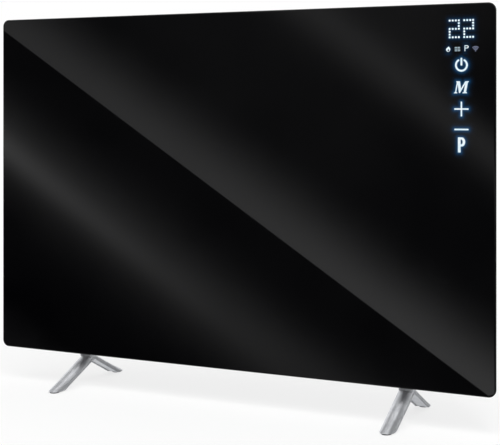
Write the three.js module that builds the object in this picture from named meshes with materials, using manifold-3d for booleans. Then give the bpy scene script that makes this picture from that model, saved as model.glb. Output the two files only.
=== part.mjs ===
// Infrared panel heater: a black toughened glass panel with a heating film bonded
// behind it, a shallow sheet-steel casing, touch controls at the upper right and
// two cast aluminium feet.
//
// Millimetres. X runs to the right as seen from the front, Y from front to back
// and Z up. While the pieces are made, Y = 0 is the front face of the glass and
// Z = 0 the floor; at the end the whole heater slides in Y, so that its origin
// lies on the floor in the middle of the footprint.

import * as THREE from 'three';
import { mergeVertices } from 'three/addons/utils/BufferGeometryUtils.js';
import Module from 'manifold-3d';

const wasm = await Module();
wasm.setup();

// ---------------------------------------------------------------------------
// Driving dimensions
// ---------------------------------------------------------------------------

const GLASS_WIDTH = 770;
const GLASS_HEIGHT = 500;
const GLASS_THICKNESS = 5;
const GLASS_CORNER_RADIUS = 10;
const GLASS_ARRIS = 0.8; // width of the ground edge chamfer
const FLOOR_CLEARANCE = 49; // floor to the lower edge of the glass

const FIT_GAP = 0.3; // between a piece and the one it drops into
const BOND_LINE = 0.1; // adhesive film between bonded faces

const SHEET = 1; // steel of the rear cover
const CASING_INSET = 11; // edge of the glass to the side of the casing
const CASING_DEPTH = 30; // front face of the glass to the rear face of the casing
const CASING_CORNER_RADIUS = 6;
const COVER_GLASS_GAP = 1.3;

const FRAME_WALL = 1.5;
const FRAME_FRONT_FLANGE = 6;
const FRAME_REAR_FLANGE = 12;
const GASKET_THICKNESS = 0.8;

const FILM_THICKNESS = 0.4;
const FILM_MARGIN = 34; // edge of the glass to the edge of the film
const BUSBAR_WIDTH = 10;
const BUSBAR_THICKNESS = 0.4;
const INSULATION_THICKNESS = 13.5;
const FOIL_THICKNESS = 0.3;
const CONTROL_STRIP = 101; // unheated strip at the right, measured on the glass

const FOOT_INSET = 131; // side of the glass to the middle of a foot
const LEG_THICKNESS = 9;
const CROWN_SQUARENESS = 2.5; // of the outer half of a leg's section; 2 is an ellipse
const UNDERSIDE_SQUARENESS = 7;
const LEG_WIDTH_AT_HUB = 21.5;
const LEG_WIDTH_AT_TOE = 19.5;
const FRONT_TOE_REACH = 47; // in front of the glass, where the middle of the leg meets the floor
const FRONT_TOE_SPLAY = 2; // outwards, away from the middle of the heater
const BACK_TOE_REACH = 117; // behind the front face of the glass
const BACK_TOE_SPLAY = -2;
const HUB_DROP = 10; // lower edge of the glass to the middle of the hub
const HUB_RADIUS = 7;
const HUB_SETBACK = 3; // front of the stem to the front of the hub
const STEM_WIDTH = 18;
const STEM_THICKNESS = 12;
const STEM_TOP = 146; // height of the top of the stem above the floor
const TOE_OVERRUN = 10; // rounded end beyond the point where the leg meets the floor
const PAD_THICKNESS = 1.5;
const PAD_WIDTH = 13;
const PAD_LENGTH = 15;
const PAD_SETBACK = 1.5; // middle of the leg at the floor to the middle of the pad, towards the hub

const FOOT_SCREW_HEIGHTS = [90, 128];
const FOOT_SCREW_RADIUS = 3;
const FOOT_SCREW_HEAD_RADIUS = 6;
const FOOT_SCREW_HEAD = 3.6;
const BRACKET_WIDTH = 58;
const BRACKET_PLATE = 2;
const BRACKET_RETURN = 5;
const BRACKET_TOP = 158;
const NUT_RADIUS = 5;
const NUT_HEIGHT = 5;

const COVER_SCREW_RADIUS = 1.6;
const COVER_SCREW_HEAD_RADIUS = 3.6;
const COVER_SCREW_HEAD = 2.2;
const COVER_SCREW_LENGTH = 5.5;
const COVER_SCREW_MARGIN = 7.5; // side of the casing to the screw
const COVER_SCREW_CORNER = 29; // side of the casing to the outer screws

const HANGER_SPREAD = 200; // middle of the heater to the middle of a hanger
const HANGER_DROP = 92; // top of the glass to the middle of a hanger
const HANGER_WIDTH = 74;
const HANGER_HEIGHT = 36;
const HANGER_FLANGE = 15;
const HANGER_STANDOFF = 8;
const HANGER_PLATE = 1.5;
const KEYHOLE_HEAD_RADIUS = 5.2;
const KEYHOLE_SLOT_WIDTH = 5.4;
const KEYHOLE_RISE = 12;

const VENT_LENGTH = 44;
const VENT_WIDTH = 3.2;
const VENT_PITCH = 9;
const VENT_COUNT = 7;
const VENT_INSET = 56; // side of the casing to the middle of the vents
const VENT_HEIGHTS = [122, 440]; // lowest slot of each group, above the floor

const RIB_COUNT = 3;
const RIB_LENGTH = 470;
const RIB_WIDTH = 12;
const RIB_HEIGHT = 1.2;
const RIB_PITCH = 62;
const RIB_TOP_DROP = 170; // top of the glass to the middle of the upper rib
const RIB_CENTRE_X = -20;

const TRAY_WIDTH = 56;
const TRAY_WALL = 1.6;
const TRAY_DEPTH = 18.5;
const TRAY_BOTTOM = 96;
const TRAY_TOP = 338;
const POST_RADIUS = 3;
const BOARD_THICKNESS = 1.6;
const BOARD_STANDOFF = 5; // floor of the tray to the power board

const TERMINAL_RISE = 24; // bottom of the tray to the middle of the terminal block
const TERMINAL_WAYS = 3;
const TERMINAL_PITCH = 9;
const TERMINAL_HEIGHT = 11;
const TERMINAL_LENGTH = 13;
const TERMINAL_HOLE_RADIUS = 2.4;
const TERMINAL_HOLE_DEPTH = 4;
const TRANSFORMER_RISE = 152; // bottom of the tray to the middle of the transformer
const TRANSFORMER_OFFSET = 2; // middle of the board to the middle of the transformer
const TRANSFORMER_WIDTH = 24;
const TRANSFORMER_HEIGHT = 12;
const TRANSFORMER_LENGTH = 22;
const RELAY_RISE = 200; // bottom of the tray to the middle of the relay
const RELAY_OFFSET = -12;
const RELAY_WIDTH = 14;
const RELAY_HEIGHT = 12.4;
const RELAY_LENGTH = 28;
const TIP_SWITCH_OFFSET = 14;
const TIP_SWITCH_WIDTH = 11;
const TIP_SWITCH_LENGTH = 13;

const DISPLAY_WIDTH = 50.4;
const DISPLAY_GAP = 5; // top of the tray to the bottom of the display
const DISPLAY_WALL = 1.4;
const DISPLAY_DEPTH = 10.5;
const TOUCH_FOIL_THICKNESS = 0.3;
const LIGHT_GUIDE_THICKNESS = 3.5;
const MATRIX_HEIGHT = 28; // height of the dot-matrix module
const BUZZER_OFFSET = -10; // middle of the display board to the middle of the buzzer
const BUZZER_RISE = 56; // bottom of the display to the middle of the buzzer
const BUZZER_RADIUS = 4.6;
const BUZZER_HEIGHT = 4.5;
const RADIO_WIDTH = 16;
const RADIO_LENGTH = 24;
const RADIO_HEIGHT = 3;
const RADIO_DROP = 12; // top of the display to the top of the radio module

const SWITCH_HEIGHT_ABOVE_FLOOR = 200;
const SWITCH_LENGTH = 18.6;
const SWITCH_WIDTH = 12.8;
const SWITCH_DEPTH = 15;
const SWITCH_WALL = 1.3;
const BEZEL_LENGTH = 22;
const BEZEL_WIDTH = 15.4;
const BEZEL_HEIGHT = 1.5;
const ROCKER_LENGTH = 13.2;
const ROCKER_WIDTH = 9.4;
const ROCKER_PIVOT_DEPTH = 2.5; // side of the casing to the pivot
const ROCKER_TILT = 11; // degrees each way from level
const ROCKER_FACE = 4.6; // pivot to the two ends of the rocker's face
const ROCKER_DIP = 1; // of the face at its middle
const ROCKER_SKIRT = 1.2;
const ROCKER_KEEL = 4.5;
const ROCKER_KEEL_WIDTH = 3.2;
const TAB_SPREAD = 5; // middle of the switch to the middle of a tab
const TAB_LENGTH = 5;
const TAB_WIDTH = 4.8;
const TAB_THICKNESS = 0.8;
const TRUNNION_RADIUS = 1.2;
const TRUNNION_LENGTH = 1.1;

const GLAND_INSET = 74; // side of the casing to the middle of the gland
const GLAND_BORE_RADIUS = 4.2;
const GLAND_BODY_RADIUS = 6;
const GLAND_FLANGE_RADIUS = 9;
const GLAND_FLANGE = 2.5;
const GLAND_SPOUT = 6.5;
const GLAND_NUT_RADIUS = 9;
const GLAND_NUT = 4.5;

const SENSOR_INSET = 174; // side of the casing to the middle of the sensor
const SENSOR_RADIUS = 3;
const SENSOR_DROP = 7;
const CUTOUT_RADIUS = 8;
const CUTOUT_HEIGHT = 7;
const CUTOUT_INSET = 134; // right end of the film to the middle of the cut-out
const CUTOUT_DROP = 80; // top of the glass to the middle of the cut-out

const WIRE_RADIUS = 1.3;
const RIBBON_WIDTH = 12;
const RIBBON_THICKNESS = 0.6;

// ---------------------------------------------------------------------------
// Places that follow from them
// ---------------------------------------------------------------------------

const glassBottom = FLOOR_CLEARANCE;
const glassTop = glassBottom + GLASS_HEIGHT;
const halfGlass = GLASS_WIDTH / 2;

const casingSide = halfGlass - CASING_INSET;
const casingBottom = glassBottom + CASING_INSET;
const casingTop = glassTop - CASING_INSET;
const coverInside = CASING_DEPTH - SHEET;
const coverFront = GLASS_THICKNESS + COVER_GLASS_GAP;

const gasketFront = GLASS_THICKNESS + BOND_LINE;
const frameFront = gasketFront + GASKET_THICKNESS + BOND_LINE;
const frameRear = coverInside - FIT_GAP;
const frameInset = SHEET + FIT_GAP; // casing side to the outside of the frame
const frameSide = casingSide - frameInset;
const frameTop = casingTop - frameInset;
const frameBottom = casingBottom + frameInset;
const casingMiddle = (coverFront + coverInside) / 2; // middle of the casing's depth
const ventCentre = casingSide - VENT_INSET;
const glandX = casingSide - GLAND_INSET;
const sensorX = casingSide - SENSOR_INSET;

const filmFront = GLASS_THICKNESS + BOND_LINE;
const busbarFront = filmFront + FILM_THICKNESS + BOND_LINE;
const matFront = busbarFront + BUSBAR_THICKNESS + BOND_LINE;
const matRear = matFront + INSULATION_THICKNESS;
const filmLeft = -halfGlass + FILM_MARGIN;
const filmRight = halfGlass - CONTROL_STRIP;
const filmBottom = glassBottom + FILM_MARGIN;
const filmTop = glassTop - FILM_MARGIN;
const cutoutX = filmRight - CUTOUT_INSET;

const controlsFront = GLASS_THICKNESS + FIT_GAP;
const trayLeft = filmRight + 6;
const trayRight = trayLeft + TRAY_WIDTH;
const boardFront = controlsFront + TRAY_WALL + BOARD_STANDOFF + FIT_GAP;
const boardRear = boardFront + BOARD_THICKNESS;
const partsFront = boardRear + FIT_GAP; // lower face of what is soldered on the power board

const displayBottom = TRAY_TOP + DISPLAY_GAP;
const displayRight = frameSide - FRAME_FRONT_FLANGE - FIT_GAP;
const displayLeft = displayRight - DISPLAY_WIDTH;
const displayTop = frameTop - FRAME_FRONT_FLANGE - FIT_GAP;
const ribbonX = (displayLeft + trayRight) / 2; // where both boards lie behind each other
const matrixBottom = displayTop - DISPLAY_WALL - FIT_GAP - MATRIX_HEIGHT;
const guideFront = controlsFront + TOUCH_FOIL_THICKNESS + FIT_GAP;
const displayBoardFront = guideFront + LIGHT_GUIDE_THICKNESS + FIT_GAP;
const displayBoardRear = displayBoardFront + BOARD_THICKNESS;

const stemFront = CASING_DEPTH + FIT_GAP;
const stemRear = stemFront + STEM_THICKNESS;
const hubHeight = glassBottom - HUB_DROP;
const hubDepth = stemFront + HUB_RADIUS + HUB_SETBACK;
const footX = halfGlass - FOOT_INSET;

const hangerHeight = glassTop - HANGER_DROP;
const hangerFront = CASING_DEPTH + FIT_GAP;
const hangerRear = hangerFront + HANGER_STANDOFF;

const degrees = THREE.MathUtils.degToRad;

// ---------------------------------------------------------------------------
// Finishes
// ---------------------------------------------------------------------------

function finish(color, roughness, metalness) {
  return { color, roughness, metalness };
}

const FINISHES = {
  glass: finish('#08090b', 0.08, 0),
  castAluminium: finish('#b4b6ba', 0.38, 1),
  coatedSteel: finish('#1b1c1e', 0.6, 0.2),
  zincSteel: finish('#9ea2a5', 0.4, 1),
  extrudedAluminium: finish('#a7aaad', 0.45, 1),
  darkScrew: finish('#26272a', 0.45, 1),
  silicone: finish('#2a2a2b', 0.8, 0),
  carbonFilm: finish('#161616', 0.7, 0),
  copper: finish('#b46a42', 0.35, 1),
  mineralWool: finish('#b9b39a', 0.95, 0),
  foil: finish('#c4c6c8', 0.3, 1),
  blackPlastic: finish('#141416', 0.5, 0),
  whitePlastic: finish('#d8dadb', 0.5, 0),
  greenBoard: finish('#1d5b38', 0.5, 0),
  clearAcrylic: finish('#d5dee2', 0.2, 0),
  rubber: finish('#1a1a1a', 0.85, 0),
  brass: finish('#b89a55', 0.35, 1),
  ceramic: finish('#dcd8cc', 0.6, 0),
  tin: finish('#b9bcbe', 0.35, 1),
  redSleeve: finish('#7c3a2a', 0.55, 0),
  blueSleeve: finish('#2f5d8c', 0.55, 0),
  greenSleeve: finish('#6f8a2f', 0.55, 0),
};

const heater = new THREE.Group();

function add(name, geometry, finishName) {
  const mesh = new THREE.Mesh(geometry, new THREE.MeshStandardMaterial(FINISHES[finishName]));
  mesh.name = name;
  heater.add(mesh);
  return mesh;
}

// ---------------------------------------------------------------------------
// Shapes
// ---------------------------------------------------------------------------

function block(x0, x1, y0, y1, z0, z1) {
  const geometry = new THREE.BoxGeometry(x1 - x0, y1 - y0, z1 - z0);
  return geometry.translate((x0 + x1) / 2, (y0 + y1) / 2, (z0 + z1) / 2);
}

// A rectangle with rounded corners; its second coordinate is the height.
function roundedRectangle(x0, x1, z0, z1, radius) {
  const shape = new THREE.Shape();
  const quarter = Math.PI / 2;
  shape.absarc(x1 - radius, z0 + radius, radius, -quarter, 0, false);
  shape.absarc(x1 - radius, z1 - radius, radius, 0, quarter, false);
  shape.absarc(x0 + radius, z1 - radius, radius, quarter, 2 * quarter, false);
  shape.absarc(x0 + radius, z0 + radius, radius, 2 * quarter, 3 * quarter, false);
  return shape;
}

// A front-view outline given depth from y0 (front) to y1 (back).
function slab(shape, y0, y1, segments = 4) {
  const options = { depth: y1 - y0, bevelEnabled: false, curveSegments: segments };
  const geometry = new THREE.ExtrudeGeometry(shape, options);
  return geometry.rotateX(Math.PI / 2).translate(0, y1, 0);
}

function roundedSlab(x0, x1, y0, y1, z0, z1, radius, segments = 4) {
  return slab(roundedRectangle(x0, x1, z0, z1, radius), y0, y1, segments);
}

// A round bar along Y from y0 to y1.
function barAlongY(x, z, radius, y0, y1, sides = 16) {
  const geometry = new THREE.CylinderGeometry(radius, radius, y1 - y0, sides);
  return geometry.translate(x, (y0 + y1) / 2, z);
}

// A turned piece about the Y axis; each point is [radius, y], first and last on the axis.
function turned(points, x, z, sides = 16) {
  const profile = points.map(([radius, y]) => new THREE.Vector2(radius, y));
  return new THREE.LatheGeometry(profile, sides).translate(x, 0, z);
}

function solid(geometry) {
  const bare = geometry.clone();
  bare.deleteAttribute('normal');
  bare.deleteAttribute('uv');
  const merged = mergeVertices(bare, 1e-4);
  return new wasm.Manifold(new wasm.Mesh({
    numProp: 3,
    vertProperties: new Float32Array(merged.attributes.position.array),
    triVerts: new Uint32Array(merged.index.array),
  }));
}

function surface(body) {
  const mesh = body.getMesh();
  const geometry = new THREE.BufferGeometry();
  geometry.setAttribute('position', new THREE.BufferAttribute(mesh.vertProperties, 3));
  geometry.setIndex(new THREE.BufferAttribute(mesh.triVerts, 1));
  geometry.computeVertexNormals();
  return geometry;
}

function cut(geometry, ...tools) {
  return surface(tools.reduce((body, tool) => body.subtract(solid(tool)), solid(geometry)));
}

function join(...geometries) {
  return surface(geometries.map(solid).reduce((body, other) => body.add(other)));
}

// A round lead along a smooth curve through the given points.
function lead(points, steps, radius = WIRE_RADIUS) {
  const sides = 6;
  const section = new THREE.Shape();
  for (let side = 0; side < sides; side += 1) {
    const angle = (side / sides) * 2 * Math.PI;
    const place = [radius * Math.cos(angle), radius * Math.sin(angle)];
    if (side === 0) section.moveTo(...place);
    else section.lineTo(...place);
  }
  const path = new THREE.CatmullRomCurve3(points.map((point) => new THREE.Vector3(...point)));
  return new THREE.ExtrudeGeometry(section, { steps, extrudePath: path, bevelEnabled: false });
}

// A screw that points forward: its head rests on the face y = seat, the shank runs to y = tip.
function screw(x, z, seat, tip, shankRadius, headRadius, headHeight, socketRadius) {
  const crown = seat + headHeight;
  const edge = 0.25 * headHeight;
  const blank = turned([
    [0, tip],
    [shankRadius * 0.8, tip],
    [shankRadius, tip + shankRadius * 0.4],
    [shankRadius, seat],
    [headRadius, seat],
    [headRadius, crown - 2 * edge],
    [headRadius - edge, crown],
    [0, crown],
  ], x, z, 12);
  const socket = barAlongY(x, z, socketRadius, crown - 0.55 * headHeight, crown + 1, 6);
  return cut(blank, socket);
}

// ---------------------------------------------------------------------------
// Glass, gasket and frame
// ---------------------------------------------------------------------------

function glassFront() {
  const inner = GLASS_ARRIS;
  const outline = roundedRectangle(
    -halfGlass + inner, halfGlass - inner,
    glassBottom + inner, glassTop - inner,
    GLASS_CORNER_RADIUS - inner,
  );
  const geometry = new THREE.ExtrudeGeometry(outline, {
    depth: GLASS_THICKNESS - 2 * GLASS_ARRIS,
    bevelEnabled: true,
    bevelSize: GLASS_ARRIS,
    bevelThickness: GLASS_ARRIS,
    bevelSegments: 1,
    curveSegments: 8,
  });
  return geometry.rotateX(Math.PI / 2).translate(0, GLASS_THICKNESS - GLASS_ARRIS, 0);
}

// The silicone bead that holds the frame to the glass, as wide as the frame's front flange.
function adhesiveGasket() {
  const y0 = gasketFront;
  const y1 = gasketFront + GASKET_THICKNESS;
  const inset = FRAME_FRONT_FLANGE;
  const outer = roundedSlab(
    -frameSide, frameSide, y0, y1, frameBottom, frameTop, CASING_CORNER_RADIUS - frameInset,
  );
  const window = block(
    -frameSide + inset, frameSide - inset, y0 - 1, y1 + 1, frameBottom + inset, frameTop - inset,
  );
  return cut(outer, window);
}

function mountingFrame() {
  const body = roundedSlab(
    -frameSide, frameSide, frameFront, frameRear, frameBottom, frameTop,
    CASING_CORNER_RADIUS - frameInset,
  );
  const channel = block(
    -frameSide + FRAME_WALL, frameSide - FRAME_WALL,
    frameFront + FRAME_WALL, frameRear - FRAME_WALL,
    frameBottom + FRAME_WALL, frameTop - FRAME_WALL,
  );
  const frontWindow = block(
    -frameSide + FRAME_FRONT_FLANGE, frameSide - FRAME_FRONT_FLANGE,
    frameFront - 1, frameFront + FRAME_WALL + 1,
    frameBottom + FRAME_FRONT_FLANGE, frameTop - FRAME_FRONT_FLANGE,
  );
  const rearWindow = block(
    -frameSide + FRAME_REAR_FLANGE, frameSide - FRAME_REAR_FLANGE,
    frameRear - FRAME_WALL - 1, frameRear + 1,
    frameBottom + FRAME_REAR_FLANGE, frameTop - FRAME_REAR_FLANGE,
  );
  const screwHoles = coverScrewPlaces().map(([x, z]) => barAlongY(
    x, z, COVER_SCREW_RADIUS + FIT_GAP, frameRear - FRAME_WALL - 1, frameRear + 1, 12,
  ));
  return cut(
    body, channel, frontWindow, rearWindow, ...screwHoles,
    switchCutout(), glandCutout(), sensorCutout(),
  );
}

// ---------------------------------------------------------------------------
// Rear cover
// ---------------------------------------------------------------------------

function coverScrewPlaces() {
  const heights = [casingBottom + COVER_SCREW_MARGIN, casingTop - COVER_SCREW_MARGIN];
  const outer = casingSide - COVER_SCREW_CORNER;
  const columns = [-outer, 0, outer];
  return heights.flatMap((z) => columns.map((x) => [x, z]));
}

function hangerScrewPlaces(side) {
  const reach = (HANGER_WIDTH - HANGER_FLANGE) / 2;
  return [-reach, reach].map((offset) => [side * HANGER_SPREAD + offset, hangerHeight]);
}

function switchCutout() {
  const halfLength = SWITCH_LENGTH / 2 + FIT_GAP;
  const halfWidth = SWITCH_WIDTH / 2 + FIT_GAP;
  return block(
    casingSide - SWITCH_DEPTH, casingSide + 1,
    casingMiddle - halfWidth, casingMiddle + halfWidth,
    SWITCH_HEIGHT_ABOVE_FLOOR - halfLength, SWITCH_HEIGHT_ABOVE_FLOOR + halfLength,
  );
}

function barThroughBottom(x, radius) {
  const length = FRAME_WALL + frameInset + 2;
  const geometry = new THREE.CylinderGeometry(radius, radius, length, 16);
  return geometry.rotateX(Math.PI / 2).translate(x, casingMiddle, casingBottom - 1 + length / 2);
}

function glandCutout() {
  return barThroughBottom(glandX, GLAND_BODY_RADIUS + FIT_GAP);
}

function sensorCutout() {
  return barThroughBottom(sensorX, SENSOR_RADIUS + FIT_GAP);
}

function ventSlots() {
  const slots = [];
  for (const lowest of VENT_HEIGHTS) {
    for (let row = 0; row < VENT_COUNT; row += 1) {
      const z = lowest + row * VENT_PITCH;
      slots.push(roundedSlab(
        ventCentre - VENT_LENGTH / 2, ventCentre + VENT_LENGTH / 2,
        coverInside - 1, CASING_DEPTH + 1,
        z - VENT_WIDTH / 2, z + VENT_WIDTH / 2, VENT_WIDTH / 2 - 0.01, 2,
      ));
    }
  }
  return slots;
}

// A pressed stiffening rib, standing out of the cover's rear face.
function rib(z) {
  const half = RIB_WIDTH / 2 - RIB_HEIGHT;
  const outline = roundedRectangle(
    RIB_CENTRE_X - RIB_LENGTH / 2 + RIB_HEIGHT, RIB_CENTRE_X + RIB_LENGTH / 2 - RIB_HEIGHT,
    z - half, z + half, half - 0.01,
  );
  const geometry = new THREE.ExtrudeGeometry(outline, {
    depth: SHEET / 2,
    bevelEnabled: true,
    bevelSize: RIB_HEIGHT,
    bevelThickness: RIB_HEIGHT,
    bevelSegments: 2,
    curveSegments: 4,
  });
  return geometry.rotateX(Math.PI / 2).translate(0, CASING_DEPTH, 0);
}

function rearCover() {
  const outer = roundedSlab(
    -casingSide, casingSide, coverFront, CASING_DEPTH, casingBottom, casingTop,
    CASING_CORNER_RADIUS, 5,
  );
  const inner = roundedSlab(
    -casingSide + SHEET, casingSide - SHEET, coverFront - 1, coverInside,
    casingBottom + SHEET, casingTop - SHEET, CASING_CORNER_RADIUS - SHEET, 5,
  );
  const throughPlate = (x, z, radius) => barAlongY(x, z, radius, coverInside - 1, CASING_DEPTH + 1, 12);
  const small = COVER_SCREW_RADIUS + FIT_GAP;
  const holes = coverScrewPlaces().map(([x, z]) => throughPlate(x, z, small));
  for (const side of [-1, 1]) {
    holes.push(...hangerScrewPlaces(side).map(([x, z]) => throughPlate(x, z, small)));
    holes.push(...FOOT_SCREW_HEIGHTS.map((z) => throughPlate(side * footX, z, FOOT_SCREW_RADIUS + FIT_GAP)));
  }
  const shell = cut(outer, inner, ...holes, ...ventSlots(), switchCutout(), glandCutout(), sensorCutout());
  const pocket = block(
    -casingSide + SHEET, casingSide - SHEET, coverInside - 2 * RIB_HEIGHT, coverInside,
    casingBottom + SHEET, casingTop - SHEET,
  );
  let body = solid(shell);
  for (let row = 0; row < RIB_COUNT; row += 1) {
    const z = glassTop - RIB_TOP_DROP - row * RIB_PITCH;
    body = body.add(solid(rib(z)).subtract(solid(pocket)));
  }
  return surface(body);
}

// ---------------------------------------------------------------------------
// Heating stack
// ---------------------------------------------------------------------------

function busbar(z0) {
  return block(
    filmLeft, filmRight, busbarFront, busbarFront + BUSBAR_THICKNESS, z0, z0 + BUSBAR_WIDTH,
  );
}

const leadNotch = 16;

function insulationMat() {
  const corner = (z0, z1) => block(filmRight - leadNotch, filmRight + 1, matFront - 1, matRear + 1, z0, z1);
  return cut(
    block(filmLeft, filmRight, matFront, matRear, filmBottom, filmTop),
    corner(filmTop - leadNotch, filmTop + 1),
    corner(filmBottom - 1, filmBottom + leadNotch),
    barAlongY(cutoutX, glassTop - CUTOUT_DROP, CUTOUT_RADIUS + 3, matFront - 1, matRear + 1, 20),
  );
}

function reflectorFoil() {
  const y0 = matRear + BOND_LINE;
  const right = filmRight - leadNotch;
  return cut(
    block(filmLeft, right, y0, y0 + FOIL_THICKNESS, filmBottom, filmTop),
    barAlongY(cutoutX, glassTop - CUTOUT_DROP, CUTOUT_RADIUS + 3, y0 - 1, y0 + 2, 20),
  );
}

// A bimetal thermostat: a flanged metal cup with a ceramic neck.
function thermalCutout() {
  const y0 = filmFront + FILM_THICKNESS + BOND_LINE;
  const lip = 0.8;
  return turned([
    [0, y0],
    [CUTOUT_RADIUS, y0],
    [CUTOUT_RADIUS, y0 + 2 * lip],
    [CUTOUT_RADIUS - lip, y0 + 3 * lip],
    [CUTOUT_RADIUS - lip, y0 + CUTOUT_HEIGHT - lip],
    [CUTOUT_RADIUS - 2 * lip, y0 + CUTOUT_HEIGHT],
    [0, y0 + CUTOUT_HEIGHT],
  ], cutoutX, glassTop - CUTOUT_DROP, 20);
}

// ---------------------------------------------------------------------------
// Feet
// ---------------------------------------------------------------------------

// The section of a leg: nearly flat underneath, crowned on its outer face.
function legSection(width, thickness) {
  const sides = 28;
  const points = [];
  for (let side = 0; side < sides; side += 1) {
    const angle = (side / sides) * 2 * Math.PI;
    const c = Math.cos(angle);
    const s = Math.sin(angle);
    const squareness = s >= 0 ? CROWN_SQUARENESS : UNDERSIDE_SQUARENESS;
    points.push([
      (width / 2) * Math.sign(c) * Math.abs(c) ** (2 / squareness),
      (thickness / 2) * Math.sign(s) * Math.abs(s) ** (2 / squareness),
    ]);
  }
  return points;
}

// A straight tapered bar from the hub to past the toe, in its own frame:
// X across, Y along the leg and Z out of its crowned face.
function legBar(length) {
  const stations = [
    [0, LEG_WIDTH_AT_HUB],
    [length + 4 * TOE_OVERRUN, LEG_WIDTH_AT_TOE],
  ];
  const rings = stations.map(([along, width]) => (
    legSection(width, LEG_THICKNESS).map(([x, z]) => [x, along, z])
  ));
  const count = rings[0].length;
  const positions = [...rings[0], ...rings[1], [0, stations[0][0], 0], [0, stations[1][0], 0]];
  const index = [];
  for (let i = 0; i < count; i += 1) {
    const next = (i + 1) % count;
    index.push(i, next, count + next, i, count + next, count + i);
    index.push(2 * count, next, i, 2 * count + 1, count + i, count + next);
  }
  const geometry = new THREE.BufferGeometry();
  geometry.setAttribute('position', new THREE.Float32BufferAttribute(positions.flat(), 3));
  geometry.setIndex(index);
  return reversed(geometry);
}

function reversed(geometry) {
  const index = geometry.index.array;
  for (let i = 0; i < index.length; i += 3) {
    const first = index[i];
    index[i] = index[i + 1];
    index[i + 1] = first;
  }
  return geometry;
}

// The plan of a leg with its half-round toe, thick enough to trim the bar.
function toeTrim(length) {
  const half = LEG_WIDTH_AT_HUB;
  const radius = LEG_WIDTH_AT_TOE / 2;
  const end = length + TOE_OVERRUN;
  const shape = new THREE.Shape();
  shape.moveTo(-half, -1);
  shape.lineTo(half, -1);
  shape.lineTo(half, end - radius);
  shape.lineTo(radius, end - radius);
  shape.absarc(0, end - radius, radius, 0, Math.PI, false);
  shape.lineTo(-half, end - radius);
  const geometry = new THREE.ExtrudeGeometry(shape, {
    depth: 4 * LEG_THICKNESS, bevelEnabled: false, curveSegments: 10,
  });
  return geometry.translate(0, 0, -2 * LEG_THICKNESS);
}

function leg(toe) {
  const hub = new THREE.Vector3(0, hubDepth, hubHeight);
  const along = toe.clone().sub(hub);
  const length = along.length();
  along.normalize();
  const across = new THREE.Vector3(Math.sign(toe.y - hubDepth), 0, 0);
  const outward = across.clone().cross(along).normalize();
  across.copy(along).cross(outward);
  const placing = new THREE.Matrix4().makeBasis(across, along, outward).setPosition(hub);
  const bar = solid(legBar(length)).intersect(solid(toeTrim(length)));
  return solid(surface(bar).applyMatrix4(placing));
}

function footCasting(side) {
  const frontToe = new THREE.Vector3(side * FRONT_TOE_SPLAY, -FRONT_TOE_REACH, 0);
  const backToe = new THREE.Vector3(side * BACK_TOE_SPLAY, BACK_TOE_REACH, 0);
  const halfWidth = STEM_WIDTH / 2;
  const hub = new THREE.CylinderGeometry(HUB_RADIUS, HUB_RADIUS, STEM_WIDTH, 20);
  hub.rotateZ(Math.PI / 2).translate(0, hubDepth, hubHeight);
  const stem = roundedSlab(
    -halfWidth, halfWidth, stemFront, stemRear,
    hubHeight - halfWidth, STEM_TOP, halfWidth - 0.01, 8,
  );
  const belowHub = block(-STEM_WIDTH, STEM_WIDTH, stemFront - 1, stemRear + 1, -hubHeight, hubHeight);
  const stemOnly = solid(stem).subtract(solid(belowHub));
  const reach = FRONT_TOE_REACH + BACK_TOE_REACH;
  const floorCut = block(-reach, reach, -reach, reach, -reach, PAD_THICKNESS);
  let casting = leg(frontToe).add(leg(backToe)).add(solid(hub)).add(stemOnly);
  casting = casting.subtract(solid(floorCut));
  for (const z of FOOT_SCREW_HEIGHTS) {
    const hole = barAlongY(0, z, FOOT_SCREW_RADIUS + FIT_GAP, stemFront - 1, stemRear + 1, 16);
    casting = casting.subtract(solid(hole));
  }
  return surface(casting);
}

function footPad() {
  const shape = roundedRectangle(
    -PAD_WIDTH / 2, PAD_WIDTH / 2, -PAD_LENGTH / 2, PAD_LENGTH / 2, PAD_WIDTH / 2 - 0.01,
  );
  return new THREE.ExtrudeGeometry(shape, {
    depth: PAD_THICKNESS - BOND_LINE, bevelEnabled: false, curveSegments: 6,
  });
}

// A channel inside the cover that takes the foot's two screws in welded nuts.
function footBracket() {
  const y1 = coverInside - FIT_GAP;
  const y0 = y1 - BRACKET_PLATE;
  const half = BRACKET_WIDTH / 2;
  const bottom = frameBottom + FRAME_REAR_FLANGE + FIT_GAP;
  const plate = block(-half, half, y0, y1, bottom, BRACKET_TOP);
  const returnLeft = block(-half, -half + BRACKET_PLATE, y0 - BRACKET_RETURN, y0 + 1, bottom, BRACKET_TOP);
  const returnRight = block(half - BRACKET_PLATE, half, y0 - BRACKET_RETURN, y0 + 1, bottom, BRACKET_TOP);
  const nuts = FOOT_SCREW_HEIGHTS.map((z) => barAlongY(0, z, NUT_RADIUS, y0 - NUT_HEIGHT, y0 + 1, 6));
  const bores = FOOT_SCREW_HEIGHTS.map((z) => (
    barAlongY(0, z, FOOT_SCREW_RADIUS + FIT_GAP, y0 - NUT_HEIGHT - 1, y1 + 1, 16)
  ));
  return cut(join(plate, returnLeft, returnRight, ...nuts), ...bores);
}

// ---------------------------------------------------------------------------
// Wall hangers
// ---------------------------------------------------------------------------

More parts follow.
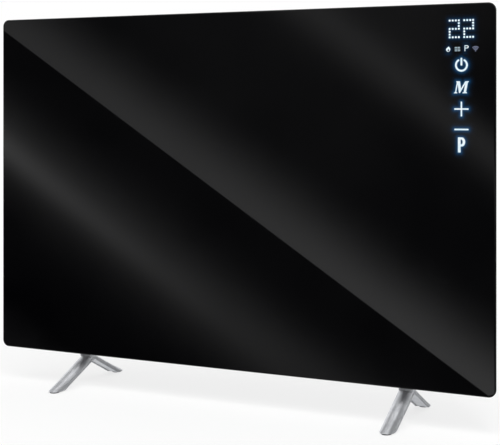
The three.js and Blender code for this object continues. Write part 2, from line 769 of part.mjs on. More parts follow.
function hangerPlate() {
  const half = HANGER_WIDTH / 2;
  const web = half - HANGER_FLANGE;
  const t = HANGER_PLATE;
  const y0 = hangerFront;
  const y1 = hangerRear;
  const outline = [
    [-half, y0], [-web, y0], [-web, y1 - t], [web, y1 - t], [web, y0], [half, y0],
    [half, y0 + t], [web + t, y0 + t], [web + t, y1], [-web - t, y1], [-web - t, y0 + t], [-half, y0 + t],
  ];
  const shape = new THREE.Shape(outline.map(([x, y]) => new THREE.Vector2(x, y)));
  const hat = new THREE.ExtrudeGeometry(shape, { depth: HANGER_HEIGHT, bevelEnabled: false });
  hat.translate(0, 0, -HANGER_HEIGHT / 2);
  const holeZ = -KEYHOLE_RISE / 2;
  const slotHalf = KEYHOLE_SLOT_WIDTH / 2;
  const keyhole = [
    barAlongY(0, holeZ, KEYHOLE_HEAD_RADIUS, y1 - t - 1, y1 + 1, 20),
    block(-slotHalf, slotHalf, y1 - t - 1, y1 + 1, holeZ, holeZ + KEYHOLE_RISE),
    barAlongY(0, holeZ + KEYHOLE_RISE, slotHalf, y1 - t - 1, y1 + 1, 16),
  ];
  const screwHoles = hangerScrewPlaces(0).map(([x]) => (
    barAlongY(x, 0, COVER_SCREW_RADIUS + FIT_GAP, y0 - 1, y0 + t + 1, 12)
  ));
  return cut(hat, ...keyhole, ...screwHoles);
}

// ---------------------------------------------------------------------------
// Controls behind the glass
// ---------------------------------------------------------------------------

function openTray(x0, x1, y0, y1, z0, z1, wall, floor) {
  return cut(
    block(x0, x1, y0, y1, z0, z1),
    block(x0 + wall, x1 - wall, floor ? y0 + wall : y0 - 1, y1 + 1, z0 + wall, z1 - wall),
  );
}

function postPlaces() {
  const inset = TRAY_WALL + 2 * POST_RADIUS;
  const columns = [trayLeft + inset, trayRight - inset];
  const rows = [TRAY_BOTTOM + inset, TRAY_TOP - inset];
  return rows.flatMap((z) => columns.map((x) => [x, z]));
}

function controlTray() {
  const y0 = controlsFront;
  const tray = openTray(trayLeft, trayRight, y0, y0 + TRAY_DEPTH, TRAY_BOTTOM, TRAY_TOP, TRAY_WALL, true);
  const posts = postPlaces().map(([x, z]) => (
    barAlongY(x, z, POST_RADIUS, y0 + TRAY_WALL / 2, y0 + TRAY_WALL + BOARD_STANDOFF, 10)
  ));
  const notchFloor = boardRear + 1;
  const middle = (trayLeft + trayRight) / 2;
  const wireNotch = (x, z) => block(
    x - RIBBON_WIDTH, x + RIBBON_WIDTH, notchFloor, y0 + TRAY_DEPTH + 1, z - 3, z + 3,
  );
  const sideNotch = block(
    trayRight - 3, trayRight + 1, notchFloor, y0 + TRAY_DEPTH + 1,
    SWITCH_HEIGHT_ABOVE_FLOOR - SWITCH_LENGTH / 2, SWITCH_HEIGHT_ABOVE_FLOOR + SWITCH_LENGTH / 2,
  );
  const filmNotch = (z) => block(
    trayLeft - 1, trayLeft + 3, notchFloor, y0 + TRAY_DEPTH + 1, z - 8, z + 8,
  );
  return cut(
    join(tray, ...posts),
    wireNotch(ribbonX, TRAY_TOP), wireNotch(middle, TRAY_BOTTOM), sideNotch,
    filmNotch(filmLeadUpper), filmNotch(filmLeadLower),
  );
}

const filmLeadUpper = TRAY_TOP - 26;
const filmLeadLower = TRAY_BOTTOM + 44;

function powerBoard() {
  const edge = TRAY_WALL + FIT_GAP;
  return block(
    trayLeft + edge, trayRight - edge, boardFront, boardRear, TRAY_BOTTOM + edge, TRAY_TOP - edge,
  );
}

// A box-shaped component on the power board: centre, width, height above the board, length in Z.
function boardBox(x, z, width, height, length) {
  return roundedSlab(
    x - width / 2, x + width / 2, partsFront, partsFront + height,
    z - length / 2, z + length / 2, 0.8, 1,
  );
}

function terminalBlock(x, z) {
  const width = (TERMINAL_WAYS - 1) * TERMINAL_PITCH + TERMINAL_HEIGHT;
  const top = partsFront + TERMINAL_HEIGHT;
  const holes = [];
  for (let way = 0; way < TERMINAL_WAYS; way += 1) {
    const wayX = x + (way - (TERMINAL_WAYS - 1) / 2) * TERMINAL_PITCH;
    holes.push(barAlongY(wayX, z, TERMINAL_HOLE_RADIUS, top - TERMINAL_HOLE_DEPTH, top + 1, 10));
  }
  return cut(boardBox(x, z, width, TERMINAL_HEIGHT, TERMINAL_LENGTH), ...holes);
}

function ribbonCable() {
  const half = RIBBON_WIDTH / 2;
  const x = ribbonX - half;
  const y0 = displayBoardRear + FIT_GAP;
  const y1 = partsFront;
  const t = RIBBON_THICKNESS;
  const top = displayBottom + 22;
  const bottom = TRAY_TOP - 18;
  const bow = 4;
  const outline = [
    [y0, top], [y0, top - 14], [y1 + bow, displayBottom + 2], [y1 + bow, TRAY_TOP - 6], [y1, bottom + 6],
    [y1, bottom], [y1 + t, bottom], [y1 + t, bottom + 6 - t], [y1 + bow + t, TRAY_TOP - 6 - t],
    [y1 + bow + t, displayBottom + 2 + t], [y0 + t, top - 14 + t], [y0 + t, top],
  ];
  const shape = new THREE.Shape(outline.map(([y, z]) => new THREE.Vector2(y, z)));
  const geometry = new THREE.ExtrudeGeometry(shape, { depth: RIBBON_WIDTH, bevelEnabled: false });
  const standing = new THREE.Matrix4().makeBasis(
    new THREE.Vector3(0, 1, 0), new THREE.Vector3(0, 0, 1), new THREE.Vector3(1, 0, 0),
  );
  return geometry.applyMatrix4(standing).translate(x, 0, 0);
}

// ---------------------------------------------------------------------------
// Mains switch, gland and room sensor
// ---------------------------------------------------------------------------

function switchBody() {
  const z = SWITCH_HEIGHT_ABOVE_FLOOR;
  const inner = casingSide - SWITCH_DEPTH;
  const outer = casingSide + FIT_GAP / 3;
  const span = (half) => [casingMiddle - half, casingMiddle + half];
  const reach = (half) => [z - half, z + half];
  const box = block(inner, outer + 0.5, ...span(SWITCH_WIDTH / 2), ...reach(SWITCH_LENGTH / 2));
  const bezel = block(outer, outer + BEZEL_HEIGHT, ...span(BEZEL_WIDTH / 2), ...reach(BEZEL_LENGTH / 2));
  const well = block(
    inner + SWITCH_WALL, outer + BEZEL_HEIGHT + 1,
    ...span(SWITCH_WIDTH / 2 - SWITCH_WALL), ...reach(SWITCH_LENGTH / 2 - SWITCH_WALL),
  );
  const pivot = new THREE.CylinderGeometry(
    TRUNNION_RADIUS + FIT_GAP, TRUNNION_RADIUS + FIT_GAP, SWITCH_WIDTH + 2, 16,
  ).translate(casingSide - ROCKER_PIVOT_DEPTH, casingMiddle, z);
  return cut(join(box, bezel), well, pivot);
}

// The rocker about its own pivot: X outwards, Y along the pivot, Z along the rocker.
function switchRocker() {
  const half = ROCKER_LENGTH / 2;
  const keelHalf = ROCKER_KEEL_WIDTH / 2;
  const outline = [
    [ROCKER_FACE, half], [ROCKER_FACE - ROCKER_DIP, 0], [ROCKER_FACE, -half], [-ROCKER_SKIRT, -half + 0.5],
    [-ROCKER_KEEL, -keelHalf], [-ROCKER_KEEL, keelHalf], [-ROCKER_SKIRT, half - 0.5],
  ];
  const shape = new THREE.Shape(outline.map(([x, z]) => new THREE.Vector2(x, z)));
  const bevel = 0.4;
  const wedge = new THREE.ExtrudeGeometry(shape, {
    depth: ROCKER_WIDTH - 2 * bevel, bevelEnabled: true, bevelSize: 0.01, bevelOffset: -0.01,
    bevelThickness: bevel, bevelSegments: 1,
  });
  wedge.rotateX(Math.PI / 2).translate(0, ROCKER_WIDTH / 2 - bevel, 0);
  const pin = new THREE.CylinderGeometry(
    TRUNNION_RADIUS, TRUNNION_RADIUS, ROCKER_WIDTH + 2 * TRUNNION_LENGTH, 16,
  );
  return join(wedge, pin);
}

function switchTab(side) {
  const z = SWITCH_HEIGHT_ABOVE_FLOOR + side * TAB_SPREAD;
  const x1 = casingSide - SWITCH_DEPTH - FIT_GAP;
  return block(
    x1 - TAB_LENGTH, x1, casingMiddle - TAB_WIDTH / 2, casingMiddle + TAB_WIDTH / 2,
    z - TAB_THICKNESS / 2, z + TAB_THICKNESS / 2,
  );
}

// Turned about a vertical axis, with a bore right through for the mains lead.
function glandBody() {
  const flangeTop = casingBottom - FIT_GAP;
  const flangeBottom = flangeTop - GLAND_FLANGE;
  const spoutEnd = flangeBottom - GLAND_SPOUT;
  const bodyTop = frameBottom + FRAME_WALL + GLAND_NUT + 2;
  const profile = [
    [GLAND_BORE_RADIUS, spoutEnd], [GLAND_BODY_RADIUS - 0.6, spoutEnd],
    [GLAND_BODY_RADIUS + 1.2, flangeBottom], [GLAND_FLANGE_RADIUS, flangeBottom],
    [GLAND_FLANGE_RADIUS, flangeTop], [GLAND_BODY_RADIUS, flangeTop],
    [GLAND_BODY_RADIUS, bodyTop], [GLAND_BORE_RADIUS, bodyTop], [GLAND_BORE_RADIUS, spoutEnd],
  ];
  const points = profile.map(([radius, z]) => new THREE.Vector2(radius, z));
  const geometry = new THREE.LatheGeometry(points, 20);
  return geometry.rotateX(Math.PI / 2).translate(glandX, casingMiddle, 0);
}

function glandNut() {
  const z0 = frameBottom + FRAME_WALL + FIT_GAP;
  const upright = (radius, from, to, sides) => new THREE.CylinderGeometry(radius, radius, to - from, sides)
    .rotateX(Math.PI / 2).translate(glandX, casingMiddle, (from + to) / 2);
  return cut(
    upright(GLAND_NUT_RADIUS, z0, z0 + GLAND_NUT, 6),
    upright(GLAND_BODY_RADIUS + FIT_GAP, z0 - 1, z0 + GLAND_NUT + 1, 20),
  );
}

// A small closed cap with the room-temperature bead in it, through the bottom of the casing.
function roomSensor() {
  const flangeTop = casingBottom - FIT_GAP;
  const flange = 1.4;
  const bodyTop = frameBottom + FRAME_WALL + 5;
  const profile = [
    [0, flangeTop - SENSOR_DROP], [SENSOR_RADIUS - 1, flangeTop - SENSOR_DROP],
    [SENSOR_RADIUS, flangeTop - SENSOR_DROP + 1], [SENSOR_RADIUS, flangeTop - flange],
    [SENSOR_RADIUS + 2, flangeTop - flange], [SENSOR_RADIUS + 2, flangeTop],
    [SENSOR_RADIUS, flangeTop], [SENSOR_RADIUS, bodyTop], [0, bodyTop],
  ];
  const points = profile.map(([radius, z]) => new THREE.Vector2(radius, z));
  const geometry = new THREE.LatheGeometry(points, 16);
  return geometry.rotateX(Math.PI / 2).translate(sensorX, casingMiddle, 0);
}

// ---------------------------------------------------------------------------
// Assembly
// ---------------------------------------------------------------------------

add('glass_front', glassFront(), 'glass');
add('adhesive_gasket', adhesiveGasket(), 'silicone');
add('mounting_frame', mountingFrame(), 'extrudedAluminium');
add('rear_cover', rearCover(), 'coatedSteel');

add('heating_film', block(
  filmLeft, filmRight, filmFront, filmFront + FILM_THICKNESS, filmBottom, filmTop,
), 'carbonFilm');
add('busbar_top', busbar(filmTop - BUSBAR_WIDTH), 'copper');
add('busbar_bottom', busbar(filmBottom), 'copper');
add('insulation_mat', insulationMat(), 'mineralWool');
add('reflector_foil', reflectorFoil(), 'foil');
add('thermal_cutout', thermalCutout(), 'ceramic');

add('control_tray', controlTray(), 'blackPlastic');
add('power_board', powerBoard(), 'greenBoard');
const boardMiddle = (trayLeft + trayRight) / 2;
const terminalZ = TRAY_BOTTOM + TERMINAL_RISE;
const relayZ = TRAY_BOTTOM + RELAY_RISE;
add('terminal_block', terminalBlock(boardMiddle, terminalZ), 'whitePlastic');
add('relay', boardBox(
  boardMiddle + RELAY_OFFSET, relayZ, RELAY_WIDTH, RELAY_HEIGHT, RELAY_LENGTH,
), 'blackPlastic');
add('transformer', boardBox(
  boardMiddle + TRANSFORMER_OFFSET, TRAY_BOTTOM + TRANSFORMER_RISE,
  TRANSFORMER_WIDTH, TRANSFORMER_HEIGHT, TRANSFORMER_LENGTH,
), 'copper');
add('tip_switch', boardBox(
  boardMiddle + TIP_SWITCH_OFFSET, relayZ, TIP_SWITCH_WIDTH, TIP_SWITCH_WIDTH, TIP_SWITCH_LENGTH,
), 'whitePlastic');

const insideLeft = displayLeft + DISPLAY_WALL + FIT_GAP;
const insideRight = displayRight - DISPLAY_WALL - FIT_GAP;
const insideBottom = displayBottom + DISPLAY_WALL + FIT_GAP;
const insideTop = displayTop - DISPLAY_WALL - FIT_GAP;
add('display_carrier', openTray(
  displayLeft, displayRight, controlsFront, controlsFront + DISPLAY_DEPTH,
  displayBottom, displayTop, DISPLAY_WALL, false,
), 'blackPlastic');
add('touch_foil', block(
  insideLeft, insideRight, controlsFront, controlsFront + TOUCH_FOIL_THICKNESS,
  insideBottom, matrixBottom - FIT_GAP,
), 'clearAcrylic');
add('light_guide', block(
  insideLeft, insideRight, guideFront, guideFront + LIGHT_GUIDE_THICKNESS,
  insideBottom, matrixBottom - FIT_GAP,
), 'clearAcrylic');
add('dot_matrix_display', roundedSlab(
  insideLeft, insideRight, controlsFront, guideFront + LIGHT_GUIDE_THICKNESS,
  matrixBottom, insideTop, 0.8, 1,
), 'blackPlastic');
add('display_board', block(
  insideLeft, insideRight, displayBoardFront, displayBoardRear, insideBottom, insideTop,
), 'greenBoard');
const displayMiddle = (displayLeft + displayRight) / 2;
const displayPartsFront = displayBoardRear + FIT_GAP;
add('buzzer', barAlongY(
  displayMiddle + BUZZER_OFFSET, displayBottom + BUZZER_RISE, BUZZER_RADIUS,
  displayPartsFront, displayPartsFront + BUZZER_HEIGHT,
), 'blackPlastic');
add('radio_module', roundedSlab(
  displayMiddle - RADIO_WIDTH / 2, displayMiddle + RADIO_WIDTH / 2,
  displayPartsFront, displayPartsFront + RADIO_HEIGHT,
  displayTop - RADIO_DROP - RADIO_LENGTH, displayTop - RADIO_DROP, 0.6, 1,
), 'tin');
add('ribbon_cable', ribbonCable(), 'whitePlastic');

add('switch_body', switchBody(), 'blackPlastic');
const rocker = add('switch_rocker', switchRocker(), 'blackPlastic');
rocker.position.set(casingSide - ROCKER_PIVOT_DEPTH, casingMiddle, SWITCH_HEIGHT_ABOVE_FLOOR);
rocker.rotation.y = degrees(-ROCKER_TILT); // the upper end is pressed in: on
add('switch_tab_upper', switchTab(1), 'brass');
add('switch_tab_lower', switchTab(-1), 'brass');
add('cord_gland', glandBody(), 'blackPlastic');
add('gland_nut', glandNut(), 'blackPlastic');
add('room_sensor', roomSensor(), 'blackPlastic');

// Leads: each starts and ends a fit gap away from its terminal.
const busbarRear = busbarFront + BUSBAR_THICKNESS;
const leadLane = (filmRight + trayLeft) / 2; // between the mat and the tray
const tabX = casingSide - SWITCH_DEPTH - FIT_GAP - TAB_LENGTH;
const leadDepth = partsFront + TERMINAL_HEIGHT / 2 + 0.5;
const terminalTop = terminalZ + TERMINAL_LENGTH / 2 + FIT_GAP;
const upperTab = SWITCH_HEIGHT_ABOVE_FLOOR + TAB_SPREAD;
const lowerTab = SWITCH_HEIGHT_ABOVE_FLOOR - TAB_SPREAD;
add('switch_lead_live', lead([
  [boardMiddle + 9, leadDepth, terminalTop],
  [boardMiddle + 11, leadDepth, terminalTop + 14],
  [trayRight - 8, casingMiddle + 1, lowerTab - 18],
  [trayRight - 4, casingMiddle, lowerTab - 2],
  [tabX - FIT_GAP, casingMiddle, lowerTab],
], 16), 'redSleeve');
add('switch_lead_out', lead([
  [boardMiddle + 18, partsFront, upperTab + 24],
  [boardMiddle + 18, partsFront + 4, upperTab + 23],
  [boardMiddle + 19, leadDepth, upperTab + 12],
  [trayRight - 5, casingMiddle, upperTab + 2],
  [tabX - FIT_GAP, casingMiddle, upperTab],
], 12), 'redSleeve');
add('film_lead_upper', lead([
  [filmRight - leadNotch / 2, busbarRear + FIT_GAP, filmTop - leadNotch / 2],
  [filmRight - leadNotch / 2, matFront + 5, filmTop - leadNotch / 2],
  [filmRight - 2, matFront + 11, filmTop - leadNotch / 2],
  [leadLane, leadDepth, filmTop - leadNotch / 2 - 6],
  [leadLane, leadDepth + 1, filmTop - leadNotch - 14],
  [leadLane, leadDepth + 1, filmLeadUpper + 60],
  [leadLane, leadDepth + 1, filmLeadUpper + 9],
  [trayLeft + 2, leadDepth + 1, filmLeadUpper],
  [boardMiddle - 18, leadDepth + 1, filmLeadUpper + 4],
  [boardMiddle - 13, leadDepth + 1, filmLeadUpper + 2],
  [boardMiddle + RELAY_OFFSET, leadDepth + 1, relayZ + RELAY_LENGTH / 2 + FIT_GAP],
], 40), 'redSleeve');
add('film_lead_lower', lead([
  [filmRight - leadNotch / 2, busbarRear + FIT_GAP, filmBottom + leadNotch / 2],
  [filmRight - leadNotch / 2, matFront + 5, filmBottom + leadNotch / 2],
  [filmRight - 2, matFront + 11, filmBottom + leadNotch / 2],
  [leadLane, leadDepth, filmBottom + leadNotch / 2 + 6],
  [leadLane, leadDepth + 1, filmLeadLower - 10],
  [trayLeft + 2, leadDepth + 1, filmLeadLower],
  [boardMiddle - 9, leadDepth, terminalTop + 8],
  [boardMiddle - 9, leadDepth, terminalTop],
], 22), 'blueSleeve');
add('earth_lead', lead([
  [boardMiddle, leadDepth, terminalTop],
  [boardMiddle, leadDepth + 1, terminalTop + 14],
  [boardMiddle + 4, coverInside - 3, terminalTop + 24],
  [boardMiddle + 10, coverInside - WIRE_RADIUS - FIT_GAP, terminalTop + 30],
], 12), 'greenSleeve');

for (const [suffix, side] of [['left', -1], ['right', 1]]) {
  add(`foot_${suffix}`, footCasting(side), 'castAluminium').position.x = side * footX;
  add(`foot_bracket_${suffix}`, footBracket(), 'zincSteel').position.x = side * footX;
  const toes = [
    ['front', PAD_SETBACK - FRONT_TOE_REACH, FRONT_TOE_SPLAY],
    ['back', BACK_TOE_REACH - PAD_SETBACK, BACK_TOE_SPLAY],
  ];
  for (const [place, y, splay] of toes) {
    const pad = add(`foot_pad_${place}_${suffix}`, footPad(), 'rubber');
    pad.position.set(side * (footX + splay), y, 0);
  }
  FOOT_SCREW_HEIGHTS.forEach((z, index) => {
    const tip = coverInside - FIT_GAP - BRACKET_PLATE - NUT_HEIGHT;
    add(`foot_screw_${suffix}_${index + 1}`, screw(
      side * footX, z, stemRear + BOND_LINE, tip,
      FOOT_SCREW_RADIUS, FOOT_SCREW_HEAD_RADIUS, FOOT_SCREW_HEAD, 2.9,
    ), 'darkScrew');
  });
  const hanger = add(`hanger_plate_${suffix}`, hangerPlate(), 'zincSteel');
  hanger.position.set(side * HANGER_SPREAD, 0, hangerHeight);
  hangerScrewPlaces(side).forEach(([x, z], index) => {
    const seat = hangerFront + HANGER_PLATE + BOND_LINE;
    add(`hanger_screw_${suffix}_${index + 1}`, screw(
      x, z, seat, coverInside - 4, COVER_SCREW_RADIUS, COVER_SCREW_HEAD_RADIUS, COVER_SCREW_HEAD, 1.7,
    ), 'darkScrew');
  });
}

coverScrewPlaces().forEach(([x, z], index) => {
  const seat = CASING_DEPTH + BOND_LINE;
  add(`cover_screw_${index + 1}`, screw(
    x, z, seat, seat - COVER_SCREW_LENGTH,
    COVER_SCREW_RADIUS, COVER_SCREW_HEAD_RADIUS, COVER_SCREW_HEAD, 1.7,
  ), 'darkScrew');
});

// The origin moves to the middle of the footprint.
const reach = new THREE.Box3().setFromObject(heater);
heater.position.y = -(reach.min.y + reach.max.y) / 2;

export default heater;
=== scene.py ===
# %% [markdown]
# # An infrared panel heater, dressed for a photograph
#
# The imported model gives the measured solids. Here each visible one gets its finish, and those
# whose real shape is rounder than the solid get a finer piece in the same place: the glass,
# the two cast feet, the folded steel cover, the screws and the switch.
#
# Sizes are written in millimetres and become metres in one place, `make_piece`.

# %% Load the measured model
import math

import bmesh
import bpy
import numpy as np
from mathutils import Matrix, Vector


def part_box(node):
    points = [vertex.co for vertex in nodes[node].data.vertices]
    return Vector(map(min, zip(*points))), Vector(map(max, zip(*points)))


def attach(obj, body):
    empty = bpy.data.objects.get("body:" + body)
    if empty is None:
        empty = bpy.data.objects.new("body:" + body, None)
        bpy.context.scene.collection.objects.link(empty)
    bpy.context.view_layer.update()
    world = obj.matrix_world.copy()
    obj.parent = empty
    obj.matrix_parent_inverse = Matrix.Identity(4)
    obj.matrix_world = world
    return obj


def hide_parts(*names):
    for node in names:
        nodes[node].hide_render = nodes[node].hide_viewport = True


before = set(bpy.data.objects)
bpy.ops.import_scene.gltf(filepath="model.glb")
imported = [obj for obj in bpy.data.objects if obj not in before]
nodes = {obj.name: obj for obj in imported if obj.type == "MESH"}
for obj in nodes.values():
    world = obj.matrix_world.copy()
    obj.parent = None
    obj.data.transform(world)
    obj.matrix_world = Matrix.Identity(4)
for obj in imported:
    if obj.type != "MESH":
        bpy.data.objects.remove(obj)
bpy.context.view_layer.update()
for plain in list(bpy.data.materials):
    plain.name = "measured " + plain.name
print("loaded", len(nodes), "nodes")

MM = 0.001


def box_mm(node):
    """Lowest and highest corner of a node, in millimetres."""
    low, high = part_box(node)
    return [c / MM for c in low], [c / MM for c in high]


# %% [markdown]
# ## Measures
#
# Every place below follows from the boxes of the measured solids, so that a finer piece lies
# exactly where its solid does. What the boxes can't give, such as a corner radius, has its name
# here.

# %% Read the main measures
glass_low, glass_high = box_mm("glass_front")
GLASS_LEFT, GLASS_FRONT, GLASS_BOTTOM = glass_low
GLASS_RIGHT, GLASS_REAR, GLASS_TOP = glass_high
(COVER_LEFT, COVER_FRONT, COVER_BOTTOM), (COVER_RIGHT, RIB_CREST, COVER_TOP) = box_mm("rear_cover")
GLASS_CORNER = 10.0
ARRIS = 1.1
COVER_CORNER = 6.0
SHEET = 1.0
RIB_HEIGHT = 1.2
COVER_REAR = RIB_CREST - RIB_HEIGHT
print("glass", GLASS_RIGHT - GLASS_LEFT, "x", GLASS_TOP - GLASS_BOTTOM, "mm")

# %% [markdown]
# ## Small tools
#
# Colours are written as on a screen (sRGB hex) and turned to the linear values that the
# shaders need by one function. `add_node` adds a shader node and fills its sockets by name.

# %% Tools for materials
def shade_level(shade):
    """A screen shade from 0 to 255 as a linear level from 0 to 1."""
    value = shade / 255
    return value / 12.92 if value <= 0.04045 else ((value + 0.055) / 1.055) ** 2.4


def linear(hex_colour):
    """An sRGB colour such as '#8a8d92' as a linear RGBA tuple."""
    return (*(shade_level(int(hex_colour[i:i + 2], 16)) for i in (1, 3, 5)), 1.0)


def add_node(tree, kind, settings=None, **sockets):
    """Adds a node; a socket given as a value is set, and one given as another socket is linked."""
    node = tree.nodes.new(kind)
    for name, value in (settings or {}).items():
        setattr(node, name, value)
    for name, value in sockets.items():
        key = int(name[1:]) if name[1:].isdigit() else name.replace("_", " ")
        socket = node.inputs[key]
        if isinstance(value, bpy.types.NodeSocket):
            tree.links.new(value, socket)
        else:
            socket.default_value = value
    return node


def maths(tree, operation, *values):
    """The result of a maths node."""
    sockets = {f"i{k}": value for k, value in enumerate(values)}
    return add_node(tree, "ShaderNodeMath", {"operation": operation}, **sockets).outputs[0]


def new_material(name, **values):
    """A material with one Principled shader, whose plain values are set on its own sockets."""
    material = bpy.data.materials.new(name)
    material.use_nodes = True
    tree = material.node_tree
    tree.nodes.clear()
    shader = add_node(tree, "ShaderNodeBsdfPrincipled", **values)
    output = add_node(tree, "ShaderNodeOutputMaterial")
    tree.links.new(shader.outputs[0], output.inputs["Surface"])
    return material, tree, shader


def object_point(tree, scale=(1.0, 1.0, 1.0)):
    """Object coordinates, stretched: a larger scale makes a finer pattern along that axis."""
    coordinates = add_node(tree, "ShaderNodeTexCoord").outputs["Object"]
    return add_node(tree, "ShaderNodeMapping", Vector=coordinates, Scale=scale).outputs["Vector"]


def noise(tree, size_mm, detail=2.0, roughness=0.5, stretch=(1.0, 1.0, 1.0)):
    """Noise whose features are about size_mm across."""
    return add_node(
        tree, "ShaderNodeTexNoise", Vector=object_point(tree, stretch), Scale=1.0 / (size_mm * MM),
        Detail=detail, Roughness=roughness,
    ).outputs["Fac"]


def between(tree, factor, low, high, start=0.3, end=0.7):
    """Maps a factor's middle range to the numbers low to high."""
    return add_node(
        tree, "ShaderNodeMapRange", Value=factor, i1=start, i2=end, i3=low, i4=high,
    ).outputs[0]


def blend_colours(tree, factor, first, second):
    """A mix of two screen colours."""
    return add_node(
        tree, "ShaderNodeMix", {"data_type": "RGBA"}, i0=factor, i6=linear(first),
        i7=linear(second),
    ).outputs[2]


def dress(tree, shader, colours, colour_by, gloss, gloss_by, relief_by, relief_mm, strength=0.5):
    """Adds the usual three details: a little colour change, uneven gloss and a fine relief."""
    colour = blend_colours(tree, between(tree, colour_by, 0.0, 1.0), *colours)
    bump = add_node(
        tree, "ShaderNodeBump", Height=relief_by, Strength=strength, Distance=relief_mm * MM,
    )
    tree.links.new(colour, shader.inputs["Base Color"])
    tree.links.new(between(tree, gloss_by, *gloss), shader.inputs["Roughness"])
    tree.links.new(bump.outputs[0], shader.inputs["Normal"])


def grained(name, base, roughness, colours, gloss, sizes, relief_mm, strength=0.5, **values):
    """Cloudy colour, patchy gloss and fine grain; sizes gives (mm, detail) of each."""
    material, tree, shader = new_material(
        name, Base_Color=linear(base), Roughness=roughness, **values,
    )
    clouds, patches, grain = (noise(tree, *size) for size in sizes)
    dress(tree, shader, colours, clouds, gloss, patches, grain, relief_mm, strength)
    return material


# %% Tools for meshes
def show(name, data):
    """An object that holds the data, linked into the scene."""
    thing = bpy.data.objects.new(name, data)
    bpy.context.scene.collection.objects.link(thing)
    return thing


def make_piece(name, vertices, faces, material=None, sharp=30.0):
    """A mesh object from millimetre points, its faces turned outwards and its soft edges smooth."""
    mesh = bpy.data.meshes.new(name)
    mesh.from_pydata([Vector(v) * MM for v in vertices], [], [tuple(f) for f in faces])
    editing = bmesh.new()
    editing.from_mesh(mesh)
    bmesh.ops.recalc_face_normals(editing, faces=editing.faces)
    editing.to_mesh(mesh)
    editing.free()
    piece = show(name, mesh)
    if material:
        mesh.materials.append(material)
    smooth(piece, sharp)
    return piece


def smooth(piece, sharp=30.0):
    piece.data.shade_smooth()
    piece.data.set_sharp_from_angle(angle=math.radians(sharp))


def make_body(name, rings, material=None, sharp=30.0):
    """A closed piece through rings of points."""
    return make_piece(name, *loft(rings), material, sharp)


def bake(piece):
    """Turns a piece with modifiers into a plain mesh."""
    graph = bpy.context.evaluated_depsgraph_get()
    plain = bpy.data.meshes.new_from_object(piece.evaluated_get(graph))
    piece.modifiers.clear()
    piece.data = plain


def combine(piece, tool, operation):
    """Adds, cuts or keeps the common part of two closed pieces; the tool is used up."""
    step = piece.modifiers.new(operation, "BOOLEAN")
    step.object = tool
    step.operation = operation
    step.solver = "MANIFOLD"
    bake(piece)
    bpy.data.objects.remove(tool)


def cut(piece, rings):
    """Cuts the closed body through the rings out of a piece."""
    combine(piece, make_body("tool", rings), "DIFFERENCE")


def soften(piece, width_mm, angle=40.0):
    """Rounds the hard edges a little, so that they catch the light, and keeps flat faces flat."""
    piece.data.shade_smooth()
    edges = piece.modifiers.new("edges", "BEVEL")
    edges.width = width_mm * MM
    edges.segments = 2
    edges.limit_method = "ANGLE"
    edges.angle_limit = math.radians(angle)
    normals = piece.modifiers.new("normals", "WEIGHTED_NORMAL")
    normals.keep_sharp = True
    bake(piece)


def middle_mm(name):
    low, high = box_mm(name)
    return [(a + b) / 2 for a, b in zip(low, high)]


def seat(piece, slot, *replaced, body="heater"):
    """Lets a piece ride with its body and hides the solids that it stands for."""
    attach(piece, body)
    if replaced:
        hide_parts(*replaced)
    print(piece.name, len(piece.data.polygons), "faces")


# %% Tools for sections and rings
SQUARE = ((-1, -1), (1, -1), (1, 1), (-1, 1))


def arc(x, z, across, up, degrees):
    """Points at the given angles of an ellipse round (x, z)."""
    turns = [math.radians(a) for a in degrees]
    return [(x + across * math.cos(a), z + up * math.sin(a)) for a in turns]


def sweep(start, end, steps):
    """Angles from start to end, both included."""
    return [start + (end - start) * k / steps for k in range(steps + 1)]


def full_turn(count):
    return sweep(0, 360, count)[:-1]


def outline(x0, x1, z0, z1, radius, steps=8):
    """A rectangle with rounded corners, as (x, z) points."""
    corners = ((x1, z0, -1, 1, -90), (x1, z1, -1, -1, 0), (x0, z1, 1, -1, 90), (x0, z0, 1, 1, 180))
    points = []
    for x, z, sx, sz, start in corners:
        middle = (x + sx * radius, z + sz * radius)
        points += arc(*middle, radius, radius, sweep(start, start + 90, steps))
    return points


def inset_outline(x0, x1, z0, z1, radius, d, steps):
    return outline(x0 + d, x1 - d, z0 + d, z1 - d, max(radius - d, 0.05), steps)


def loft(rings):
    """Vertices and faces of a closed body through rings of equally many points."""
    count, last = len(rings[0]), len(rings) - 1
    vertices = [p for ring in rings for p in ring]
    faces = []
    for start in range(0, last * count, count):
        for i in range(count):
            j = (i + 1) % count
            faces.append((start + i, start + j, start + count + j, start + count + i))
    faces += [tuple(reversed(range(count))), tuple(range(last * count, (last + 1) * count))]
    return vertices, faces


def gather(bodies):
    """Vertices and faces of several closed bodies, each given as its rings."""
    vertices, faces = [], []
    for rings in bodies:
        points, sides = loft(rings)
        faces += [[len(vertices) + i for i in side] for side in sides]
        vertices += points
    return vertices, faces


def grid_faces(rows, columns):
    return [
        (r * columns + c, r * columns + c + 1, (r + 1) * columns + c + 1, (r + 1) * columns + c)
        for r in range(rows - 1) for c in range(columns - 1)
    ]


def slab_rings(x0, x1, z0, z1, radius, levels, steps=8):
    """Rings of a rounded slab along Y; levels lists (y, inset)."""
    return [
        [(x, y, z) for x, z in inset_outline(x0, x1, z0, z1, radius, d, steps)] for y, d in levels
    ]


def turned_rings(profile, sides, x, y, z, axis="Y"):
    """Rings of a turned body; profile lists (place along the axis, radius)."""
    rings = []
    for along, radius in profile:
        ring = []
        for u, v in arc(0, 0, radius, radius, full_turn(sides)):
            a, b, c = {"X": (along, u, v), "Y": (u, along, v), "Z": (u, v, along)}[axis]
            ring.append((x + a, y + b, z + c))
        rings.append(ring)
    return rings


# %% [markdown]
# ## Camera
#
# The four edges of the glass in the photograph fix the view: the camera stands level, 1.54 m in
# front of the glass and 0.8 m to the right of its middle, and looks 26.5 degrees to the left.
# The lens is shifted down, because the photograph keeps upright lines upright.

